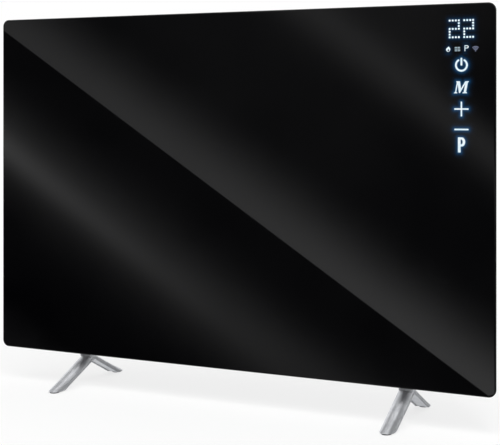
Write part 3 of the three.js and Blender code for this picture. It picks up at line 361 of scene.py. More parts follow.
# %% Place the camera
CAMERA_SIDE = 805.28
CAMERA_AWAY = 1539.88
CAMERA_ABOVE_GLASS_FOOT = 371.27
camera_data = bpy.data.cameras.new("camera")
camera_data.sensor_width = 36.0
camera_data.lens = 89.464
camera_data.shift_y = -0.23694
camera = show("camera", camera_data)
camera.location = Vector((
    CAMERA_SIDE, GLASS_FRONT - CAMERA_AWAY, GLASS_BOTTOM + CAMERA_ABOVE_GLASS_FOOT,
)) * MM
camera.rotation_euler = (math.radians(90), 0, math.radians(26.45125))
bpy.context.scene.camera = camera
print("camera at", [round(c, 3) for c in camera.location])

# %% [markdown]
# ## Finishes
#
# One material for each finish in the record. Pattern sizes are real ones in millimetres.

# %% Glass
# Float glass, toughened: rolled through the furnace, so its face has a very slight wave. The rear
# is screen-printed black, which makes the whole sheet look black.
BLACK_GLASS = (
    "#040405", 0.03, ("#030304", "#060607"), (0.01, 0.025),
    ((90, 2), (35, 4), (140, 1)), 0.02, 0.12,
)
toughened_glass = grained("toughened_glass", *BLACK_GLASS, IOR=1.5)

# The edge is ground with a fine wheel and blackened: duller and darker than the face.
ground_glass = grained(
    "ground_glass_edge", "#050606", 0.3, ("#040505", "#0a0c0b"), (0.24, 0.38),
    ((6, 2), (2, 3), (0.4, 3)), 0.01, 0.4, IOR=1.5, Specular_IOR_Level=0.22,
)

# %% Cast and brushed aluminium
# The feet are die-cast, belt-brushed across each leg and clear-coated. The fine strokes spread a
# highlight along the leg, whose direction is the upright one laid onto the surface.
cast_aluminium, tree, shader = new_material(
    "cast_aluminium", Base_Color=linear("#d6d8dc"), Metallic=0.7, Roughness=0.42, Anisotropic=0.75,
)
upright = add_node(tree, "ShaderNodeCombineXYZ", X=0.02, Y=0.0, Z=1.0)
tree.links.new(upright.outputs[0], shader.inputs["Tangent"])
strokes = noise(tree, 0.7, 3, 0.6, (0.05, 1.0, 1.0))
clouds = noise(tree, 12, 3)
dress(tree, shader, ("#cfd1d5", "#e0e1e4"), clouds, (0.38, 0.47), strokes, strokes, 0.015)

# %% Steel: powder-coated, galvanised and tinned
# The cover is sprayed with black powder that melts to a fine orange-peel texture.
coated_steel = grained(
    "coated_steel", "#1b1c1e", 0.55, ("#191a1c", "#1e1f21"), (0.46, 0.6),
    ((40, 2), (1.2, 2), (0.8, 2)), 0.05, 0.7, IOR=1.5,
)

# Brackets are stamped from galvanised sheet, whose zinc crystals show as a faint spangle.
zinc_steel, tree, shader = new_material(
    "zinc_steel", Base_Color=linear("#a3a7aa"), Metallic=1.0, Roughness=0.38,
)
crystals = add_node(tree, "ShaderNodeTexVoronoi", Vector=object_point(tree), Scale=1 / (7 * MM))
spangle = add_node(tree, "ShaderNodeSeparateColor", Color=crystals.outputs["Color"]).outputs[0]
dress(
    tree, shader, ("#9b9ea2", "#adb1b4"), spangle, (0.33, 0.43), spangle, noise(tree, 0.6), 0.006,
)

grained(
    "tin_plate", "#b9bcbe", 0.3, ("#adb0b2", "#c6c9cb"), (0.24, 0.4),
    ((3, 2), (1.5, 2), (0.5, 2)), 0.004, Metallic=1.0,
)

# %% Extruded aluminium
# The frame is pressed through a die, which leaves fine lines along it.
_, tree, shader = new_material(
    "extruded_aluminium", Base_Color=linear("#a9acb0"), Metallic=1.0, Roughness=0.4,
)
die_lines = noise(tree, 1.2, 2, 0.5, (0.03, 1.0, 0.03))
dress(
    tree, shader, ("#9da0a4", "#b5b8bb"), noise(tree, 20), (0.32, 0.48), die_lines, die_lines, 0.01,
)

# %% Screws, copper, brass and foil
# The screws are black-zinc plated; the plating rubs bright where tools touch it.
black_screw = grained(
    "black_screw", "#2b2c2f", 0.4, ("#222326", "#3b3c40"), (0.3, 0.5),
    ((1.4, 3), (0.7, 2), (0.25, 2)), 0.006, Metallic=1.0,
)
# Rolled copper and brass tarnish a little, in clouds; foil is creased where it was laid.
grained(
    "copper", "#b8744c", 0.35, ("#a3623e", "#c68157"), (0.28, 0.45),
    ((5, 3), (2, 2), (0.4, 2)), 0.006, Metallic=1.0,
)
grained(
    "brass", "#b89a55", 0.35, ("#a88a48", "#c4a763"), (0.28, 0.42),
    ((2, 2), (1, 2), (0.3, 2)), 0.004, Metallic=1.0,
)
grained(
    "foil", "#c6c8ca", 0.28, ("#bcbfc1", "#d0d2d4"), (0.22, 0.34),
    ((8, 2), (6, 2), (5, 4)), 0.25, 0.6, Metallic=1.0,
)

# %% Plastics, rubber and silicone
# Injection-moulded parts take the mould's spark-eroded texture: an even, very fine grain.
black_plastic = grained(
    "black_plastic", "#17171a", 0.45, ("#141416", "#1c1c1f"), (0.38, 0.54),
    ((9, 2), (0.5, 2), (0.28, 2)), 0.02, 0.6, IOR=1.46,
)
white_plastic = grained(
    "white_plastic", "#d8dadb", 0.45, ("#d2d4d4", "#dfe0e0"), (0.38, 0.52),
    ((9, 2), (0.8, 2), (0.3, 2)), 0.012, IOR=1.46,
)
# Pressed rubber is dull and a little dusty; cured silicone is smoother, with a soft shine.
rubber = grained(
    "rubber", "#1c1c1d", 0.8, ("#181819", "#242425"), (0.7, 0.9),
    ((4, 2), (0.8, 2), (0.4, 3)), 0.04, 0.7, IOR=1.5,
)
grained(
    "silicone", "#2a2a2b", 0.6, ("#252526", "#303031"), (0.5, 0.7),
    ((12, 2), (2, 2), (3, 3)), 0.05, IOR=1.41,
)
grained(
    "clear_acrylic", "#dfe6ea", 0.12, ("#d9e1e5", "#e6ecef"), (0.08, 0.18),
    ((20, 2), (4, 2), (3, 2)), 0.004, 0.3, IOR=1.49, Transmission_Weight=0.7,
)

# %% Heating film, insulation, ceramic and circuit board
# Carbon paste is screen-printed in bands across the film.
_, tree, shader = new_material(
    "carbon_film", Base_Color=linear("#161616"), Roughness=0.65, IOR=1.5,
)
bands = add_node(
    tree, "ShaderNodeTexWave", Vector=object_point(tree), Scale=1 / (60 * MM), Distortion=0.0,
).outputs["Fac"]
dress(
    tree, shader, ("#0f0f10", "#242425"), bands, (0.55, 0.75), noise(tree, 1.5),
    noise(tree, 0.6), 0.01,
)

# Mineral wool is a felt of fibres that lie flat in the mat.
_, tree, shader = new_material(
    "mineral_wool", Base_Color=linear("#b5ae92"), Roughness=0.95, IOR=1.45,
)
fibres = noise(tree, 2.5, 5, 0.7, (1.0, 1.0, 0.25))
dress(tree, shader, ("#9d9678", "#c8c2a8"), fibres, (0.88, 1.0), fibres, fibres, 0.6, 0.9)

grained(
    "ceramic", "#dcd8cc", 0.5, ("#d2cdbf", "#e4e0d5"), (0.4, 0.6),
    ((1.5, 4), (2, 2), (0.5, 2)), 0.015, IOR=1.55,
)

# Green solder resist lies over the copper tracks, which show as paler, raised lines.
_, tree, shader = new_material(
    "circuit_board", Base_Color=linear("#1d5b38"), Roughness=0.4, IOR=1.5,
)
tracks = add_node(
    tree, "ShaderNodeTexBrick", Vector=object_point(tree), Scale=1 / (14 * MM), Mortar_Size=0.06,
).outputs["Fac"]
dress(tree, shader, ("#1a5233", "#2c7a4c"), tracks, (0.32, 0.48), noise(tree, 3), tracks, 0.03)

# %% Lead sleeves
# PVC insulation: smooth, with slightly uneven gloss where it was drawn.
for name, dark, light in (
    ("brown_sleeve", "#56301f", "#6b3d28"), ("blue_sleeve", "#2a5280", "#376596"),
    ("green_sleeve", "#5d7a26", "#a2a13a"),
):
    grained(
        name, dark, 0.45, (dark, light), (0.38, 0.55), ((3, 2), (1.5, 2), (0.8, 2)), 0.01, IOR=1.5,
    )

# %% [markdown]
# The touch symbols and the temperature are lit from behind by small white-blue lamps: each is
# brightest in its middle and a little uneven. Around them the light bleeds into the glass.

# %% Lit legends
def lit(name, strength, cloud_mm, *shades):
    """Clear glass over a lamp that is a little brighter in some places than in others."""
    material, tree, shader = new_material(
        name, Base_Color=linear("#0a0f14"), Roughness=0.08, IOR=1.5, Emission_Strength=strength,
    )
    lamps = between(tree, noise(tree, cloud_mm, 1), 0.0, 1.0)
    tree.links.new(blend_colours(tree, lamps, *shades), shader.inputs["Emission Color"])
    return material


lit_legend = lit("lit_legend", 0.95, 6, "#dcf3ff", "#f6fcff")
# The waves and the heat bars wait for a command, so their lamps are turned down.
faint_legend = lit("faint_legend", 0.5, 3, "#9aa2c2", "#b0b6d6")
dimmed_legend = lit("dimmed_legend", 0.7, 3, "#bfd9e8", "#d3e8f4")

glow_glass = grained("glow_glass", *BLACK_GLASS, IOR=1.5, Emission_Strength=1.0)
tree = glow_glass.node_tree
glow = add_node(tree, "ShaderNodeAttribute", {"attribute_name": "glow"}).outputs["Fac"]
shader = next(n for n in tree.nodes if n.type == "BSDF_PRINCIPLED")
tree.links.new(blend_colours(tree, glow, "#000000", "#0c3b60"), shader.inputs["Emission Color"])

# %% Give every measured solid its finish
used = set()
for node in nodes.values():
    for holder in node.material_slots:
        finish = holder.material.name.removeprefix("measured ")
        holder.material = bpy.data.materials[finish]
        used.add(finish)
print("finishes on", len(nodes), "nodes:", len(used))

# %% [markdown]
# ## The glass
#
# One sheet, 5 mm thick. Its arris, the ground strip along each edge, is 1.1 mm wide with
# slightly rounded transitions. A narrow flat ring inside the front face keeps the large mirror
# exactly flat, while the edge turns smoothly.

# %% Build the glass
def glass_panel():
    soft = 0.25
    front = [
        (GLASS_FRONT, ARRIS + 1.6), (GLASS_FRONT, ARRIS + soft), (GLASS_FRONT + 0.04, ARRIS + 0.08),
        (GLASS_FRONT + 0.12, ARRIS - 0.08), (GLASS_FRONT + ARRIS - 0.1, 0.1),
        (GLASS_FRONT + ARRIS + 0.05, 0.03), (GLASS_FRONT + ARRIS + soft, 0.0),
    ]
    middle = GLASS_FRONT + GLASS_REAR
    levels = front + [(middle - y, inset) for y, inset in reversed(front)]
    rings = slab_rings(GLASS_LEFT, GLASS_RIGHT, GLASS_BOTTOM, GLASS_TOP, GLASS_CORNER, levels, 14)
    piece = make_body("glass_panel", rings, toughened_glass, 35)
    piece.data.materials.append(ground_glass)
    for face in piece.data.polygons:
        ring = face.index // len(rings[0])
        face.material_index = 1 if 2 <= ring <= len(levels) - 4 else 0
    return piece


seat(glass_panel(), "toughened_glass", "glass_front")

# %% [markdown]
# ## The lit symbols
#
# Places are in panel millimetres: x from the middle of the glass, z from its lower edge. The
# figures are a matrix of round dots. The letters are plain function letters.

# %% Draw the symbols as flat outlines
SYMBOL_LIFT = 0.04
SYMBOL_DEPTH = 0.03


def stroke(a, b, width):
    """A straight stroke with round ends."""
    toward = math.degrees(math.atan2(b[1] - a[1], b[0] - a[0]))
    half = width / 2
    return (arc(*b, half, half, sweep(toward - 90, toward + 90, 8))
            + arc(*a, half, half, sweep(toward + 90, toward + 270, 8)))


def arc_band(x, z, inner, outer, start, end, steps=30):
    """A curved stroke: outer arc one way, inner arc back, round ends."""
    middle, half = (inner + outer) / 2, (outer - inner) / 2

    def end_cap(angle, turn):
        centre = arc(x, z, middle, middle, [angle])[0]
        return arc(*centre, half, half, sweep(angle + turn, angle + turn + 180, 6))

    return (arc(x, z, outer, outer, sweep(start, end, steps)) + end_cap(end, 0)
            + arc(x, z, inner, inner, sweep(end, start, steps)) + end_cap(start, 180))


def flat_symbols(name, outlines, material):
    """Fills the outlines (holes where one lies in another) and gives them a hair's thickness."""
    curve = bpy.data.curves.new(name, "CURVE")
    curve.dimensions = "2D"
    curve.fill_mode = "BOTH"
    curve.extrude = SYMBOL_DEPTH / 2 * MM
    for points in outlines:
        spline = curve.splines.new("POLY")
        spline.points.add(len(points) - 1)
        for point, (x, z) in zip(spline.points, points):
            point.co = (x * MM, (z + GLASS_BOTTOM) * MM, 0, 1)
        spline.use_cyclic_u = True
    drawing = show(name + "_outline", curve)
    graph = bpy.context.evaluated_depsgraph_get()
    mesh = bpy.data.meshes.new_from_object(drawing.evaluated_get(graph))
    bpy.data.objects.remove(drawing)
    standing = Matrix.Rotation(math.radians(90), 4, "X")
    lift = Matrix.Translation((0, (GLASS_FRONT - SYMBOL_LIFT + SYMBOL_DEPTH / 2) * MM, 0))
    mesh.transform(lift @ standing)
    mesh.name = name
    mesh.materials.clear()
    mesh.materials.append(material)
    return show(name, mesh)


def plus_outline(x, z, reach, half, eased=0.4):
    quarter = [
        (reach - eased, -half), (reach, -half + eased), (reach, half - eased),
        (reach - eased, half), (half, half),
    ]
    points = []
    for c, s in ((1, 0), (0, 1), (-1, 0), (0, -1)):
        points += [(x + u * c - v * s, z + u * s + v * c) for u, v in quarter]
    return points


bright = [
    arc_band(340.5, 421.0, 6.0, 8.5, 122, 418),
    stroke((340.5, 429.2), (340.5, 421.4), 2.5),
    plus_outline(340.5, 364.9, 9.5, 1.0),
    stroke((332.0, 338.8), (349.0, 338.8), 2.0),
]


def slanted(points, lean=0.19, foot=392.5):
    """Leans an upright drawing to the right, as an italic."""
    return [(x + (z - foot) * lean, z) for x, z in points]


# The italic M: two stems with small serifs and a V between them.
M_SHAPE = slanted([
    (331.9, 385.0), (331.9, 386.0), (333.3, 386.4), (333.3, 398.9), (332.4, 399.3), (332.4, 400.4),
    (337.2, 400.4), (340.2, 391.0), (344.1, 400.4), (348.9, 400.4), (348.9, 399.3), (347.8, 398.9),
    (347.8, 386.4), (349.1, 386.0), (349.1, 385.0), (343.3, 385.0), (343.3, 386.0), (344.6, 386.4),
    (344.6, 396.4), (339.9, 385.3), (338.7, 385.3), (334.9, 396.4), (334.9, 386.4), (336.3, 386.0),
    (336.3, 385.0),
])
# The bold P: a wide stem and a closed bowl.
P_BOLD = (
    [(335.9, 309.4), (335.9, 328.8), (341.0, 328.8)]
    + arc(341.0, 322.9, 4.5, 5.9, range(80, -90, -10))
    + [(341.0, 317.0), (339.5, 317.0), (339.5, 309.4)]
)
P_BOLD_HOLE = (
    [(339.5, 320.0), (339.5, 325.8), (340.5, 325.8)]
    + arc(340.5, 322.9, 1.6, 2.9, range(75, -76, -15))
    + [(340.5, 320.0)]
)
bright += [M_SHAPE, P_BOLD, P_BOLD_HOLE]

# %% The small row: flame, rising heat, P and radio waves
def drop_outline(x, z, width, height, lean=0.12):
    """A flame: round below, drawn out to a leaning tip."""
    points = []
    for k in range(32):
        angle = math.radians(-90 + 360 * k / 32)
        u, v = math.cos(angle), math.sin(angle)
        pinch = 1.0 if v < 0 else 1.0 - 0.85 * v ** 1.3
        points.append((x + u * width / 2 * pinch + lean * max(v, 0) * width, z + v * height / 2))
    return points


bright += [
    drop_outline(323.0, 441.7, 5.8, 7.1), drop_outline(323.3, 440.3, 2.3, 3.2, 0.3),
    [(344.6, 438.7), (344.6, 446.1), (347.5, 446.1)]
    + arc(347.5, 444.1, 2.5, 2.0, range(75, -90, -15))
    + [(347.5, 442.1), (345.6, 442.1), (345.6, 438.7)],
    [(345.6, 443.1), (345.6, 445.1), (347.4, 445.1)]
    + arc(347.4, 444.1, 1.6, 1.0, range(75, -76, -25))
    + [(347.4, 443.1)],
]
waves = [arc_band(359.0, 438.0, inner, inner + 0.95, 54, 126, 12) for inner in (2.5, 4.2, 5.9)]
waves.append(arc(359.0, 438.8, 0.8, 0.8, full_turn(16)))
bars = [
    stroke((x - 1.2, z), (x + 1.2, z), 1.05)
    for x in (333.3, 337.1) for z in (439.4, 441.5, 443.6)
]

for name, outlines, material in (
    ("touch_legends", bright, lit_legend), ("radio_waves", waves, faint_legend),
    ("heat_bars", bars, dimmed_legend),
):
    seat(flat_symbols(name, outlines, material), "lit_legend")

# %% [markdown]
# ### Repeated things
#
# `repeat` builds a small Geometry Nodes tree: a template is set on each given point, turned by a
# seeded random angle, made real and given its material.

# %% A geometry-nodes tool for repeats
def repeat(name, template, points, material, turn=(0.0, 0.0, 0.0), seed=1):
    """One plain mesh with the template on every point; turn is the largest random turn per axis."""
    tree = bpy.data.node_groups.new(name, "GeometryNodeTree")
    face = tree.interface
    face.new_socket("Points", in_out="INPUT", socket_type="NodeSocketGeometry")
    values = {
        "Template": ("NodeSocketObject", template), "Finish": ("NodeSocketMaterial", material),
        "Largest Turn": ("NodeSocketVector", turn), "Seed": ("NodeSocketInt", seed),
    }
    sockets = {
        label: face.new_socket(label, in_out="INPUT", socket_type=kind).identifier
        for label, (kind, _) in values.items()
    }
    face.new_socket("Copies", in_out="OUTPUT", socket_type="NodeSocketGeometry")
    given = tree.nodes.new("NodeGroupInput")
    result = tree.nodes.new("NodeGroupOutput")
    source = add_node(tree, "GeometryNodeObjectInfo", Object=given.outputs["Template"])
    random = add_node(
        tree, "FunctionNodeRandomValue", {"data_type": "FLOAT_VECTOR"}, i0=(0.0, 0.0, 0.0),
        i1=given.outputs["Largest Turn"], Seed=given.outputs["Seed"],
    )
    placed = add_node(
        tree, "GeometryNodeInstanceOnPoints", Points=given.outputs["Points"],
        Instance=source.outputs["Geometry"], Rotation=random.outputs["Value"],
    )
    real = add_node(tree, "GeometryNodeRealizeInstances", Geometry=placed.outputs[0])
    finished = add_node(
        tree, "GeometryNodeSetMaterial", Geometry=real.outputs[0], Material=given.outputs["Finish"],
    )
    tree.links.new(finished.outputs[0], result.inputs[0])

    mesh = bpy.data.meshes.new(name)
    mesh.from_pydata([Vector(p) * MM for p in points], [], [])
    piece = show(name, mesh)
    step = piece.modifiers.new("repeat", "NODES")
    step.node_group = tree
    for label, (_, value) in values.items():
        step[sockets[label]] = value
    bake(piece)
    bpy.data.objects.remove(template)
    print(name, "on", len(points), "points")
    return piece


# %% The temperature: two figures of round dots
DOT_RADIUS = 1.38
DIGIT_COLUMNS = ((325.0, 329.0, 333.1, 337.1), (344.2, 348.1, 352.0, 355.8))
DIGIT_TOP = 478.2
DIGIT_PITCH = 3.583
TWO = ("1111", "0001", "0001", "1111", "1000", "1000", "1111")
dot_places = [
    (x, DIGIT_TOP - row * DIGIT_PITCH)
    for columns in DIGIT_COLUMNS
    for row, pattern in enumerate(TWO)
    for x, lit in zip(columns, pattern) if lit == "1"
]
dot_profile = [(0.0, DOT_RADIUS), (-0.02, DOT_RADIUS - 0.03), (-0.03, DOT_RADIUS - 0.2)]
dot = make_body("dot", turned_rings(dot_profile, 20, 0, 0, 0), lit_legend, 60)
dots = repeat(
    "temperature_dots", dot, [(x, GLASS_FRONT - 0.01, GLASS_BOTTOM + z) for x, z in dot_places],
    lit_legend,
)
seat(dots, "lit_legend")

# %% [markdown]
# ### The glow
#
# Light from the lamps spreads in the glass. A thin patch of the same glass lies over the control
# strip; each of its points holds how near it is to a lit shape, and glows by that.

# %% Build the glow
GLOW_STEP = 0.55
GLOW_REACH = 2.3
GLOW_TAIL = 5.0
SMALL_ROW = (436.0, 449.0)
SMALL_ROW_SHARE = 0.3


def lit_points():
    """Points every 0.4 mm along the bright shapes, and the dots."""
    lit = [np.array(dot_places)]
    for shape in bright:
        ends = np.array(shape + shape[:1])
        for a, b in zip(ends[:-1], ends[1:]):
            count = max(2, int(np.hypot(*(b - a)) / 0.4))
            lit.append(a + (b - a) * np.linspace(0, 1, count)[:, None])
    return np.vstack(lit)


def glow_patch():
    xs = np.arange(312.0, 369.0, GLOW_STEP)
    zs = np.arange(300.0, 487.0, GLOW_STEP)
    places = np.column_stack([grid.ravel() for grid in np.meshgrid(xs, zs)])
    lit = lit_points()
    nearest = np.array([np.sqrt(((lit - place) ** 2).sum(1).min()) for place in places])
    close, far = (np.exp(-((nearest / reach) ** 2)) for reach in (GLOW_REACH, GLOW_TAIL))
    levels = 0.8 * close + 0.2 * far
    in_small_row = (places[:, 1] > SMALL_ROW[0]) & (places[:, 1] < SMALL_ROW[1])
    levels[in_small_row] *= SMALL_ROW_SHARE
    mesh = bpy.data.meshes.new("legend_glow")
    corners = [Vector((x, GLASS_FRONT - 0.006, GLASS_BOTTOM + z)) * MM for x, z in places]
    mesh.from_pydata(corners, [], grid_faces(len(zs), len(xs)))
    holder = mesh.attributes.new("glow", "FLOAT", "POINT")
    holder.data.foreach_set("value", levels.astype(np.float32))
    mesh.materials.append(glow_glass)
    return show("legend_glow", mesh)


seat(glow_patch(), "toughened_glass")

# %% [markdown]
# ## The feet
#
# Each foot is one casting: a front leg, a back leg and an upright stem behind the cover, joined
# by a round hub. A leg is a low-crowned bar with a rounded toe, cut level at the pad.
# The bars are joined, meshed again with even cells and eased, which gives the small fillets that
# a casting has where its arms meet.

# %% Build the feet
HUB = (5.65, 39.0)
HUB_RADIUS = 7.0
LEG_THICKNESS = 9.0
LEG_WIDTHS = (21.5, 19.5)
FRONT_TOE = (-81.65, 2.0)
BACK_TOE = (82.35, -2.0)
TOE_OVERRUN = 10.0
PAD_TOP = 1.5
STEM_WIDTH = 18.0
STEM_Y = (-4.35, 7.65)
LEG_EDGE = 0.7
TOE_RISE = 0.9
FOOT_ACROSS = 254.0
FOOT_REACH = box_mm("foot_left")[1][1]
CORE_RIM = 2.4
CORE_DEPTH = 1.7
CORE_DRAFT = 0.8
CORE_START, CORE_RUN = 8, 6
TOE_LENGTH = 25
CROWN_POWER, TOE_POWER = 2.2, 0.6
CASTING_CELL = 0.6


def leg_ring(width, hollow, rise, squareness):
    """A low crown above, cored below: (across, out) points of a leg's section."""
    half, low = width / 2, -LEG_THICKNESS / 2
    crown = []
    for angle in np.linspace(0, math.pi, 49):
        fullness = 1 - abs(math.cos(angle)) ** squareness
        crown.append((half * math.cos(angle), LEG_EDGE + (rise - LEG_EDGE) * fullness))
    wall = [(half, low + 1.2), (half - 0.35, low + 0.35), (half - 1.2, low)]
    roof = low + hollow + 0.001
    core = [(half - CORE_RIM, low), (half - CORE_RIM - CORE_DRAFT, roof)]
    right = wall + core + [(u, roof) for u in np.linspace(half - 5, 1, 5)]
    return crown + [(-u, v) for u, v in right] + right[::-1]


def leg_body(name, x, side, toe):
    hub = Vector((x, HUB[0], HUB[1]))
    end = Vector((x + side * toe[1], toe[0], 0))
    along = (end - hub).normalized()
    length = (end - hub).length
    across = Vector((math.copysign(1, toe[0] - HUB[0]), 0, 0))
    out = across.cross(along).normalized()
    across = along.cross(out)
    tip = length + TOE_OVERRUN
    radius = LEG_WIDTHS[1] / 2
    round_end = [tip - radius + radius * math.sin(a) for a in np.linspace(0.08, 1.54, 16)]
    rings = []
    for s in [*np.linspace(0, tip - radius, 40), *round_end]:
        width = LEG_WIDTHS[0] + (LEG_WIDTHS[1] - LEG_WIDTHS[0]) * s / (length + 4 * TOE_OVERRUN)
        reach = s - (tip - radius)
        narrowing = math.sqrt(max(radius ** 2 - reach ** 2, 0.01)) / radius if reach > 0 else 1.0
        from_ends = min(s - CORE_START, length - CORE_START - s) / CORE_RUN
        hollow = CORE_DEPTH * min(max(from_ends, 0), 1)
        near_toe = min(max((s - length + TOE_LENGTH) / TOE_LENGTH, 0), 1)
        rise = LEG_THICKNESS / 2 + TOE_RISE * near_toe
        section = leg_ring(width, hollow, rise, CROWN_POWER + TOE_POWER * near_toe)
        rings.append([hub + along * s + across * u * narrowing + out * v for u, v in section])
    piece = make_body(name, rings)
    editing = bmesh.new()
    editing.from_mesh(piece.data)
    forward = math.copysign(1, toe[0])
    end_plane = ((0, forward * FOOT_REACH * MM, 0), (0, -forward, 0))
    pad_plane = ((0, 0, PAD_TOP * MM), (0, 0, 1))
    for place, facing in (end_plane, pad_plane):
        everything = editing.verts[:] + editing.edges[:] + editing.faces[:]
        trimmed = bmesh.ops.bisect_plane(
            editing, geom=everything, plane_co=place, plane_no=facing, clear_inner=True,
        )
        rim = [e for e in trimmed["geom_cut"] if isinstance(e, bmesh.types.BMEdge)]
        bmesh.ops.edgeloop_fill(editing, edges=rim)
    bmesh.ops.recalc_face_normals(editing, faces=editing.faces)
    editing.to_mesh(piece.data)
    editing.free()
    return piece


def foot(side):
    suffix = "left" if side < 0 else "right"
    top = box_mm("foot_" + suffix)[1][2]
    x = side * FOOT_ACROSS
    half = STEM_WIDTH / 2
    parts = [leg_body("front", x, side, FRONT_TOE), leg_body("back", x, side, BACK_TOE)]
    hub_profile = [(-half + 0.01, 0.2), (-half, HUB_RADIUS), (half, HUB_RADIUS), (half + 0.01, 0.2)]
    parts.append(make_body("hub", turned_rings(hub_profile, 48, x, *HUB, "X")))
    levels = [(y, 0) for y in STEM_Y]
    stem_rings = slab_rings(x - half, x + half, HUB[1] - half, top, half - 0.01, levels, 16)
    stem_rings = [[(p[0], p[1], max(p[2], HUB[1])) for p in ring] for ring in stem_rings]
    parts.append(make_body("stem", stem_rings))
    vertices, faces = [], []
    for part in parts:
        start = len(vertices)
        vertices += [v.co / MM for v in part.data.vertices]
        faces += [[start + i for i in p.vertices] for p in part.data.polygons]
        bpy.data.objects.remove(part)
    piece = make_piece("foot_casting_" + suffix, vertices, faces, cast_aluminium, 180)
    remesh = piece.modifiers.new("even cells", "REMESH")
    remesh.mode = "VOXEL"
    remesh.voxel_size = CASTING_CELL * MM
    ease = piece.modifiers.new("ease", "SMOOTH")
    ease.factor = 0.5
    ease.iterations = 3
    bake(piece)
    # The level cut stays level: nothing goes under the top of the pads.
    for vertex in piece.data.vertices:
        vertex.co.z = max(vertex.co.z, PAD_TOP * MM)
    piece.data.materials.clear()
    piece.data.materials.append(cast_aluminium)
    piece.data.shade_smooth()
    return piece


for side, suffix in ((-1, "left"), (1, "right")):
    seat(foot(side), "cast_aluminium", "foot_" + suffix)

# %% [markdown]
# ## The rear cover
#
# A folded steel pan. Its sides turn into the rear wall with a small radius, three ribs are
# pressed outwards to stiffen it, and two groups of vents let warm air out near the electronics.

# %% Build the folded pan
FOLD = 1.6


def fold_levels(outer_inset, rear, front, radius):
    """From the open front edge, along the side and round the fold to the flat rear wall."""
    levels = [(front, outer_inset)]
    for k in range(7):
        angle = math.radians(90 * k / 6)
        inset = outer_inset + radius - radius * math.cos(angle)
        levels.append((rear - radius + radius * math.sin(angle), inset))
    levels.append((rear, outer_inset + radius + 1.5))
    return levels


def cover_shell():
    sides = (COVER_LEFT, COVER_RIGHT, COVER_BOTTOM, COVER_TOP)
    outer = fold_levels(0, COVER_REAR, COVER_FRONT, FOLD)
    inner = fold_levels(SHEET, COVER_REAR - SHEET, COVER_FRONT - 1, FOLD - SHEET + 0.2)
    shell = make_body("rear_cover_sheet", slab_rings(*sides, COVER_CORNER, outer), coated_steel)
    cut(shell, slab_rings(*sides, COVER_CORNER, inner))
    return shell


cover = cover_shell()

# %% Press the ribs
RIB_CENTRE = -20.0
RIB_LENGTH = 470.0
RIB_WIDTH = 12.0
RIB_DROP = 170.0
RIB_PITCH = 62.0
RIB_HEIGHTS = [GLASS_TOP - RIB_DROP - RIB_PITCH * k for k in range(3)]


def rib(z):
    half_length, half_width = RIB_LENGTH / 2, RIB_WIDTH / 2
    rings = []
    for k in range(11):
        t = k / 10
        height = RIB_HEIGHT * (1 - math.cos(math.pi * min(t * 1.35, 1.0))) / 2
        inset = 0.02 + t * (half_width - 1.2)
        rings.append([
            (x, COVER_REAR - 0.02 + height, zz)
            for x, zz in outline(
                RIB_CENTRE - half_length + inset, RIB_CENTRE + half_length - inset,
                z - half_width + inset, z + half_width - inset, half_width - inset - 0.01, 8,
            )
        ])
    floor = [(x, COVER_REAR - SHEET * 0.6, zz) for x, _, zz in rings[0]]
    return make_body("rib", [floor] + rings)


for z in RIB_HEIGHTS:
    combine(cover, rib(z), "UNION")
print("ribs at", RIB_HEIGHTS)

# %% Cut the vents and the openings for the switch, the gland and the sensor
VENT_CENTRE = COVER_RIGHT - 56.0
VENT_HALF = 22.0
VENT_RADIUS = 1.6
VENT_PITCH = 9.0
VENT_GROUPS = (122.0, 440.0)
SWITCH_HOLE = (6.7, 9.6)
HOLE_RADII = {"cord_gland": 6.3, "room_sensor": 3.3}
vent_rings = slab_rings(
    -VENT_HALF, VENT_HALF, -VENT_RADIUS, VENT_RADIUS, VENT_RADIUS - 0.01, [(-2.0, 0), (2.0, 0)],
)
vent_tool = repeat(
    "vent_tool", make_body("vent", vent_rings),
    [(VENT_CENTRE, COVER_REAR - 0.5, z + VENT_PITCH * k) for z in VENT_GROUPS for k in range(7)],
    coated_steel,
)
combine(cover, vent_tool, "DIFFERENCE")
_, middle_y, middle_z = middle_mm("switch_body")
cut(cover, [
    [(x, middle_y + a * SWITCH_HOLE[0], middle_z + b * SWITCH_HOLE[1]) for a, b in SQUARE]
    for x in (COVER_RIGHT - 3, COVER_RIGHT + 2)
])
for node, radius in HOLE_RADII.items():
    x, y, _ = middle_mm(node)
    cut(cover, turned_rings([(-3, radius), (3, radius)], 32, x, y, COVER_BOTTOM, "Z"))
soften(cover, 0.18)
seat(cover, "coated_steel", "rear_cover")

# %% [markdown]
# ## Screws
#
# Pan-head screws with a cross recess hold the cover and the hangers; button heads with a hexagon
# socket hold the feet. Each kind is modelled once and set on its places.

# %% Model the two screws
PAN_HEAD = 2.2
BUTTON_HEAD = 3.6


def cross_screw():
    profile = [
        (-5.5, 1.5), (-0.001, 1.6), (0, 3.55), (0.35, 3.6), (1.1, 3.35), (1.7, 2.7), (2.05, 1.8),
        (PAN_HEAD, 0.8), (PAN_HEAD, 0.3),
    ]
    screw = make_body("cross_screw", turned_rings(profile, 36, 0, 0, 0), black_screw)
    for long, short in ((1.75, 0.42), (0.42, 1.75)):
        cut(screw, [
            [(u * long * k, y, v * short * k) for u, v in SQUARE]
            for y, k in ((0.7, 0.45), (2.6, 1.1))
        ])
    soften(screw, 0.08, 35)
    return screw


